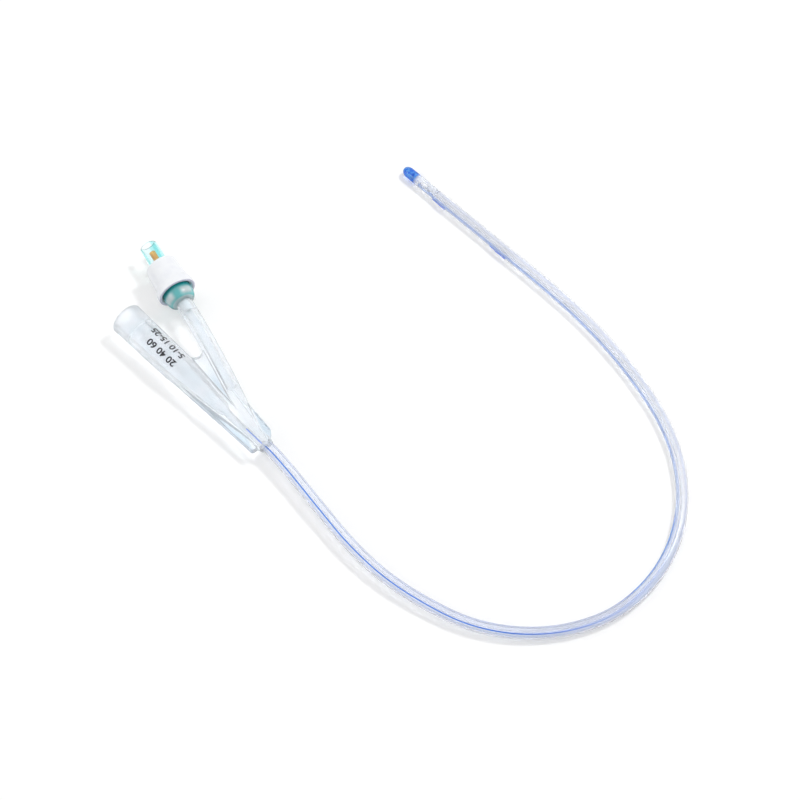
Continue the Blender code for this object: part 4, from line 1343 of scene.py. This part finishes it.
blue_end = Shader("blue_tip")
along, around = blue_end.wrap()
blue_from = ROUTE_LENGTH - BLUE_LENGTH
blue = along.ramp(blue_from - BLUE_FADE, blue_from + BLUE_FADE)
deeper = around.abs().ramp(34.0, 62.0).either(blue_end.noise(700.0).ramp(0.50, 0.62))
blues = blue_end.mix(deeper, colour(110, 184, 248), colour(40, 120, 230))
side_band = around.within(48.0, 20.0, 6.0) * along.ramp(SIDE_BAND_GONE, SIDE_BAND_TO)
clear_part = blue_end.mix(side_band, colour(246, 249, 255), BAND_BLUE)
blue_end.set(Base_Color=blue_end.mix(blue, clear_part, blues),
             Roughness=blue_end.noise(500.0) * 0.04 + 0.15,
             IOR=1.43, Transmission_Weight=0.60)
blue_end.bump(blue_end.noise(600.0), strength=0.02)
blue_end.let_lamps_through(clear_to=0.02, dark_from=0.16, least=0.30)
dress(tip, blue_end)

deep_blue = Shader("stripe_blue")
mottle = deep_blue.noise(900.0).ramp(0.3, 0.7)
deep_blue.set(Base_Color=deep_blue.mix(mottle, colour(0, 104, 222), colour(8, 114, 230)),
              Roughness=0.5)
dress(inner_stripe, deep_blue)

# %% [markdown]
# ## The valve's plastics
#
# The luer tube is clear and glossy, with a thin wall. Each crossing of a wall tints the light,
# so it is pale in its middle and deeper along its edges, and a mask deepens a line at its left
# rim too. A second mask paints light and shade: the right half a little deeper, the left half
# pale where a broad highlight lies. The masks measure across the valve's axis, in the plane of
# the table.

# %% Luer tube's teal
valve_foot = valve_place.translation
valve_side = Vector((math.cos(VALVE_YAW), -math.sin(VALVE_YAW), 0.0))
valve_top = valve_side.cross(valve_axis).normalized()

teal = Shader("clear_teal")
aside = teal.along_axis(valve_foot, valve_side) / LUER_RADIUS
# painted light and shade: the right half deeper, the left half pale as under a highlight
shaded_half = aside.ramp(0.05, 0.30)
rim_line = aside.ramp(-0.84, -0.93)
tint = teal.mix(shaded_half, colour(240, 251, 252), colour(180, 236, 237))
teal.set(Base_Color=teal.mix(rim_line, tint, colour(140, 222, 222)),
         Roughness=teal.noise(400.0) * 0.03 + 0.02, IOR=1.45, Transmission_Weight=1.0)
teal.bump(teal.noise(700.0), strength=0.03)
teal.let_lamps_through(clear_to=0.20, dark_from=0.50, least=0.20)
dress(luer_tube, teal)

# %% [markdown]
# ### The dome
#
# The dome is a cloudier teal. Pale lobes are painted on it as highlights, where big soft lights
# would reflect in its glossy curve, and painted shade darkens it under the collar. Four lobes go
# round it: the angle round the axis is folded into one quarter turn, and a mask is drawn there
# once. The stem inside the arm is nearly colourless.

# %% Dome of the valve
LOBE_TURN = 29.0      # degrees from the valve's top to its first lobe
LOBES_APART = 90.0
LOBE_HEIGHT = 0.0018
COLLAR_SHADE = (0.0030, 0.0041)      # under the collar the dome darkens between these heights
PLUG_FADE = (0.0003, -0.0001)      # and it pales from the first of these to the second

cap = Shader("dome_teal")
height = cap.along_axis(valve_foot, valve_axis)
aside = cap.along_axis(valve_foot, valve_side)
angle = aside.math("ARCTAN2", cap.along_axis(valve_foot, valve_top)) * (180.0 / math.pi)
shifted = angle - LOBE_TURN + LOBES_APART * 4.5
lobe_angle = shifted.math("MODULO", LOBES_APART) - LOBES_APART / 2
# painted highlights: pale lobes where soft lights reflect in the glossy dome
highlight_lobes = lobe_angle.within(0.0, 14.0, 24.0) * height.within(LOBE_HEIGHT, 0.0004, 0.0014)
under_collar = height.ramp(*COLLAR_SHADE)
plug = height.ramp(*PLUG_FADE)
body_teal = cap.mix(highlight_lobes, colour(126, 212, 214), colour(236, 244, 246))
body_teal = cap.mix(under_collar, body_teal, colour(20, 166, 170))
cap.set(Base_Color=cap.mix(plug, body_teal, colour(240, 248, 250)),
        Roughness=cap.noise(400.0) * 0.06 + 0.06, IOR=1.42, Transmission_Weight=0.45)
cap.bump(cap.noise(500.0, detail=1.0), strength=0.10, distance=0.0002)
cap.let_lamps_through(clear_to=0.20, dark_from=0.50, least=0.20)
dress(dome, cap)

# %% [markdown]
# ### The opaque parts
#
# The collar is white with a soft sheen, the plunger amber, the seal black rubber and the spring
# bright wire. Each has a colour that wanders a little, a roughness that does too, and a fine
# bump, because a perfectly even plastic looks like paint.

# %% Collar, plunger, seal, spring and ink
RIM_SHADE = (0.00005, 0.0002)      # the collar's lowest edge is shaded between these heights

white = Shader("collar_white")
height = white.along_axis(valve_foot, valve_axis)
rim = height.ramp(COLLAR_BOTTOM + RIM_SHADE[1], COLLAR_BOTTOM + RIM_SHADE[0])
grain = white.noise(350.0).ramp(0.3, 0.7)
whites = white.mix(grain, colour(240, 242, 247), colour(245, 247, 250))
white.set(Base_Color=white.mix(rim, whites, colour(206, 205, 222)),
          Roughness=white.noise(600.0) * 0.06 + 0.20, IOR=1.46)
white.bump(white.noise(2600.0), strength=0.03)
dress(collar, white)

amber = Shader("amber_plastic")
mottle = amber.noise(500.0).ramp(0.3, 0.7)
amber.set(Base_Color=amber.mix(mottle, colour(232, 152, 62), colour(240, 172, 86)),
          Roughness=amber.noise(400.0) * 0.05 + 0.18, IOR=1.49, Transmission_Weight=0.10)
amber.bump(amber.noise(900.0), strength=0.05)
dress(plunger, amber)

rubber = Shader("seal_rubber")
rubber.set(Base_Color=rubber.mix(rubber.noise(900.0), colour(40, 40, 42), colour(58, 58, 60)),
           Roughness=rubber.noise(900.0) * 0.2 + 0.5)
rubber.bump(rubber.noise(3000.0), strength=0.2)
dress(seal, rubber)

steel = Shader("spring_wire")
steel.set(Base_Color=steel.mix(steel.noise(900.0), colour(196, 196, 200), colour(214, 214, 216)),
          Roughness=steel.noise(1200.0) * 0.15 + 0.18, Metallic=1.0)
steel.bump(steel.noise(5000.0), strength=0.1)
dress(spring, steel)

ink = Shader("black_ink")
mottle = ink.noise(2500.0).ramp(0.3, 0.7)
ink.set(Base_Color=ink.mix(mottle, colour(14, 14, 17), colour(28, 28, 32)),
        Roughness=ink.noise(1500.0) * 0.2 + 0.45)
for row in prints:
    dress(row, ink)
print("materials:", len(bpy.data.materials))

# %% [markdown]
# # Table, backdrop and light
#
# The photograph is on pure white, with soft grey shadows that fall to the left. The table is a
# pale diffuse sheet for the light that bounces about. For the camera and in reflections it also
# glows a little, so that it reads as white and only the shadow stays grey. Seen through the
# clear pieces it glows a little more, which makes up for the walls that the light crosses. A
# brighter lamp would whiten the table too, but it would burn out the object.

# %% Table
TABLE_SIZE = 6.0
TABLE_DROP = 0.00002
TABLE_COLOUR = (0.86, 0.86, 0.86, 1.0)
GLOW_SHARE = 0.10
CLEAR_SHARE = 0.16
GLOW = 2.75

bpy.ops.object.select_all(action="DESELECT")
bpy.ops.mesh.primitive_plane_add(size=TABLE_SIZE, location=(0.0, 0.0, -TABLE_DROP))
table = bpy.context.object
table.name = "table"
sheet = Shader("white_table")
sheet.set(Base_Color=TABLE_COLOUR, Roughness=1.0, Specular_IOR_Level=0.0)
seen = (sheet.ray("Is Camera Ray") + sheet.ray("Is Glossy Ray")).math("MINIMUM", 1.0)
through = sheet.ray("Is Transmission Ray") * CLEAR_SHARE
glow = sheet.node("ShaderNodeEmission", {}, (1.0, 1.0, 1.0, 1.0), GLOW)
sheet.lay_over((seen * GLOW_SHARE).either(through), glow)
dress(table, sheet)
print("table:", TABLE_SIZE, "m wide")

# %% [markdown]
# The white room lights the object evenly from all sides, below full strength. To the camera, in
# reflections and through clear pieces it shows at strength 1, which is plain white.

# %% World
AMBIENT = 0.69


class Room(Shader):
    """The world's shader. Its main node is a Background."""

    def __init__(self, name):
        world = bpy.data.worlds.new(name)
        world.use_nodes = True
        bpy.context.scene.world = world
        self.tree = world.node_tree
        self.skin = self.tree.nodes["Background"]


room = Room("white_room")
shown = room.ray("Is Camera Ray") + room.ray("Is Glossy Ray") + room.ray("Is Transmission Ray")
strength = shown.math("MINIMUM", 1.0) * (1.0 - AMBIENT) + AMBIENT
room.set(Color=(1.0, 1.0, 1.0, 1.0), Strength=strength)
print("room light:", AMBIENT)

# %% [markdown]
# One small lamp, a disk of 14 cm a metre away, stands to the right and a little behind,
# fifty-eight degrees up. It throws the shadows, and its size gives them their soft edges. A sun
# lamp would do as well, but a disk can be moved and sized as in a real studio. Neither lamp is
# seen through clear pieces, where it would only leave bright grains.

# %% Key lamp
KEY_AZIMUTH = math.radians(-12.0)      # from +X towards +Y
KEY_HEIGHT = math.radians(58.0)
KEY_DISTANCE = 1.0
KEY_SIZE = 0.14
KEY_POWER = 3.4
LIGHT_TARGET = Vector((0.045, -0.04, 0.0))

way = Vector((math.cos(KEY_HEIGHT) * math.cos(KEY_AZIMUTH),
              math.cos(KEY_HEIGHT) * math.sin(KEY_AZIMUTH), math.sin(KEY_HEIGHT)))
bpy.ops.object.light_add(type="AREA", location=LIGHT_TARGET + way * KEY_DISTANCE)
key = bpy.context.object
key.rotation_euler = (-way).to_track_quat("-Z", "Y").to_euler()
key.data.shape = "DISK"
key.data.size = KEY_SIZE
key.data.energy = KEY_POWER
key.visible_transmission = False
print("key lamp at", [round(c, 2) for c in key.location])

# %% [markdown]
# A second, narrow lamp stands low on the left. It draws bright streaks on the glossy walls, and
# lightens a little the sides that the first lamp leaves dark.

# %% Streak lamp
STREAK_WAY = Vector((-0.72, 0.60, 0.35)).normalized()
STREAK_DISTANCE = 0.6
STREAK_WIDTH = 0.06
STREAK_LENGTH = 0.40
STREAK_POWER = 0.45

bpy.ops.object.light_add(type="AREA", location=LIGHT_TARGET + STREAK_WAY * STREAK_DISTANCE)
streak = bpy.context.object
streak.rotation_euler = (-STREAK_WAY).to_track_quat("-Z", "Y").to_euler()
streak.data.shape = "RECTANGLE"
streak.data.size = STREAK_WIDTH
streak.data.size_y = STREAK_LENGTH
streak.data.energy = STREAK_POWER
streak.visible_transmission = False
print("streak lamp at", [round(c, 2) for c in streak.location])

# %% [markdown]
# # What each piece stands for
#
# Each new piece rides on a body of the imported model and takes the place of one of its nodes.
# The plunger and its seal move with the plunger's body. The numbers and the stripe's end are new,
# and ride on the connector's body.

# %% Bodies, nodes and slots
STANDS_FOR = (
    (shaft, "root", "shaft_tube", "shaft_silicone"),
    (sleeve, "root", "balloon_sleeve", "shaft_silicone"),
    (tip, "root", "tip", "tip_silicone"),
    (body, "root", "funnel_body", "clear_silicone"),
    (luer_tube, "root", "valve_housing", "valve_plastic"),
    (dome, "root", "valve_base", "valve_plastic"),
    (collar, "root", "colour_collar", "collar_plastic"),
    (plunger, "plunger", "valve_plunger", "plunger_plastic"),
    (seal, "plunger", "valve_seal", "seal_rubber"),
    (spring, "root", "valve_spring", "spring_steel"),
)
for piece, rider, node, slot in STANDS_FOR:
    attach(piece, rider)
    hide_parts(node)
for row in prints:
    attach(row, "root")
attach(inner_stripe, "root")
print(len(STANDS_FOR), "nodes are replaced")

# %% [markdown]
# ## The spring's mesh
#
# The spring gets a mesh of its own. Its squash and the shaft's end along the route are worked out,
# and nothing uses them.

# %% The spring's own mesh
PLUNGER_TRAVEL = 0.002

spring_rest = spring_high - spring_low
(spring_rest - PLUNGER_TRAVEL) / spring_rest
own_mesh(spring)
travelled = 0.0
for a, b in zip(route_line, route_line[1:]):
    travelled += (b - a).length
    if travelled > SHAFT_END:
        break

# %% Finish
bpy.context.scene.view_settings.view_transform = "Standard"
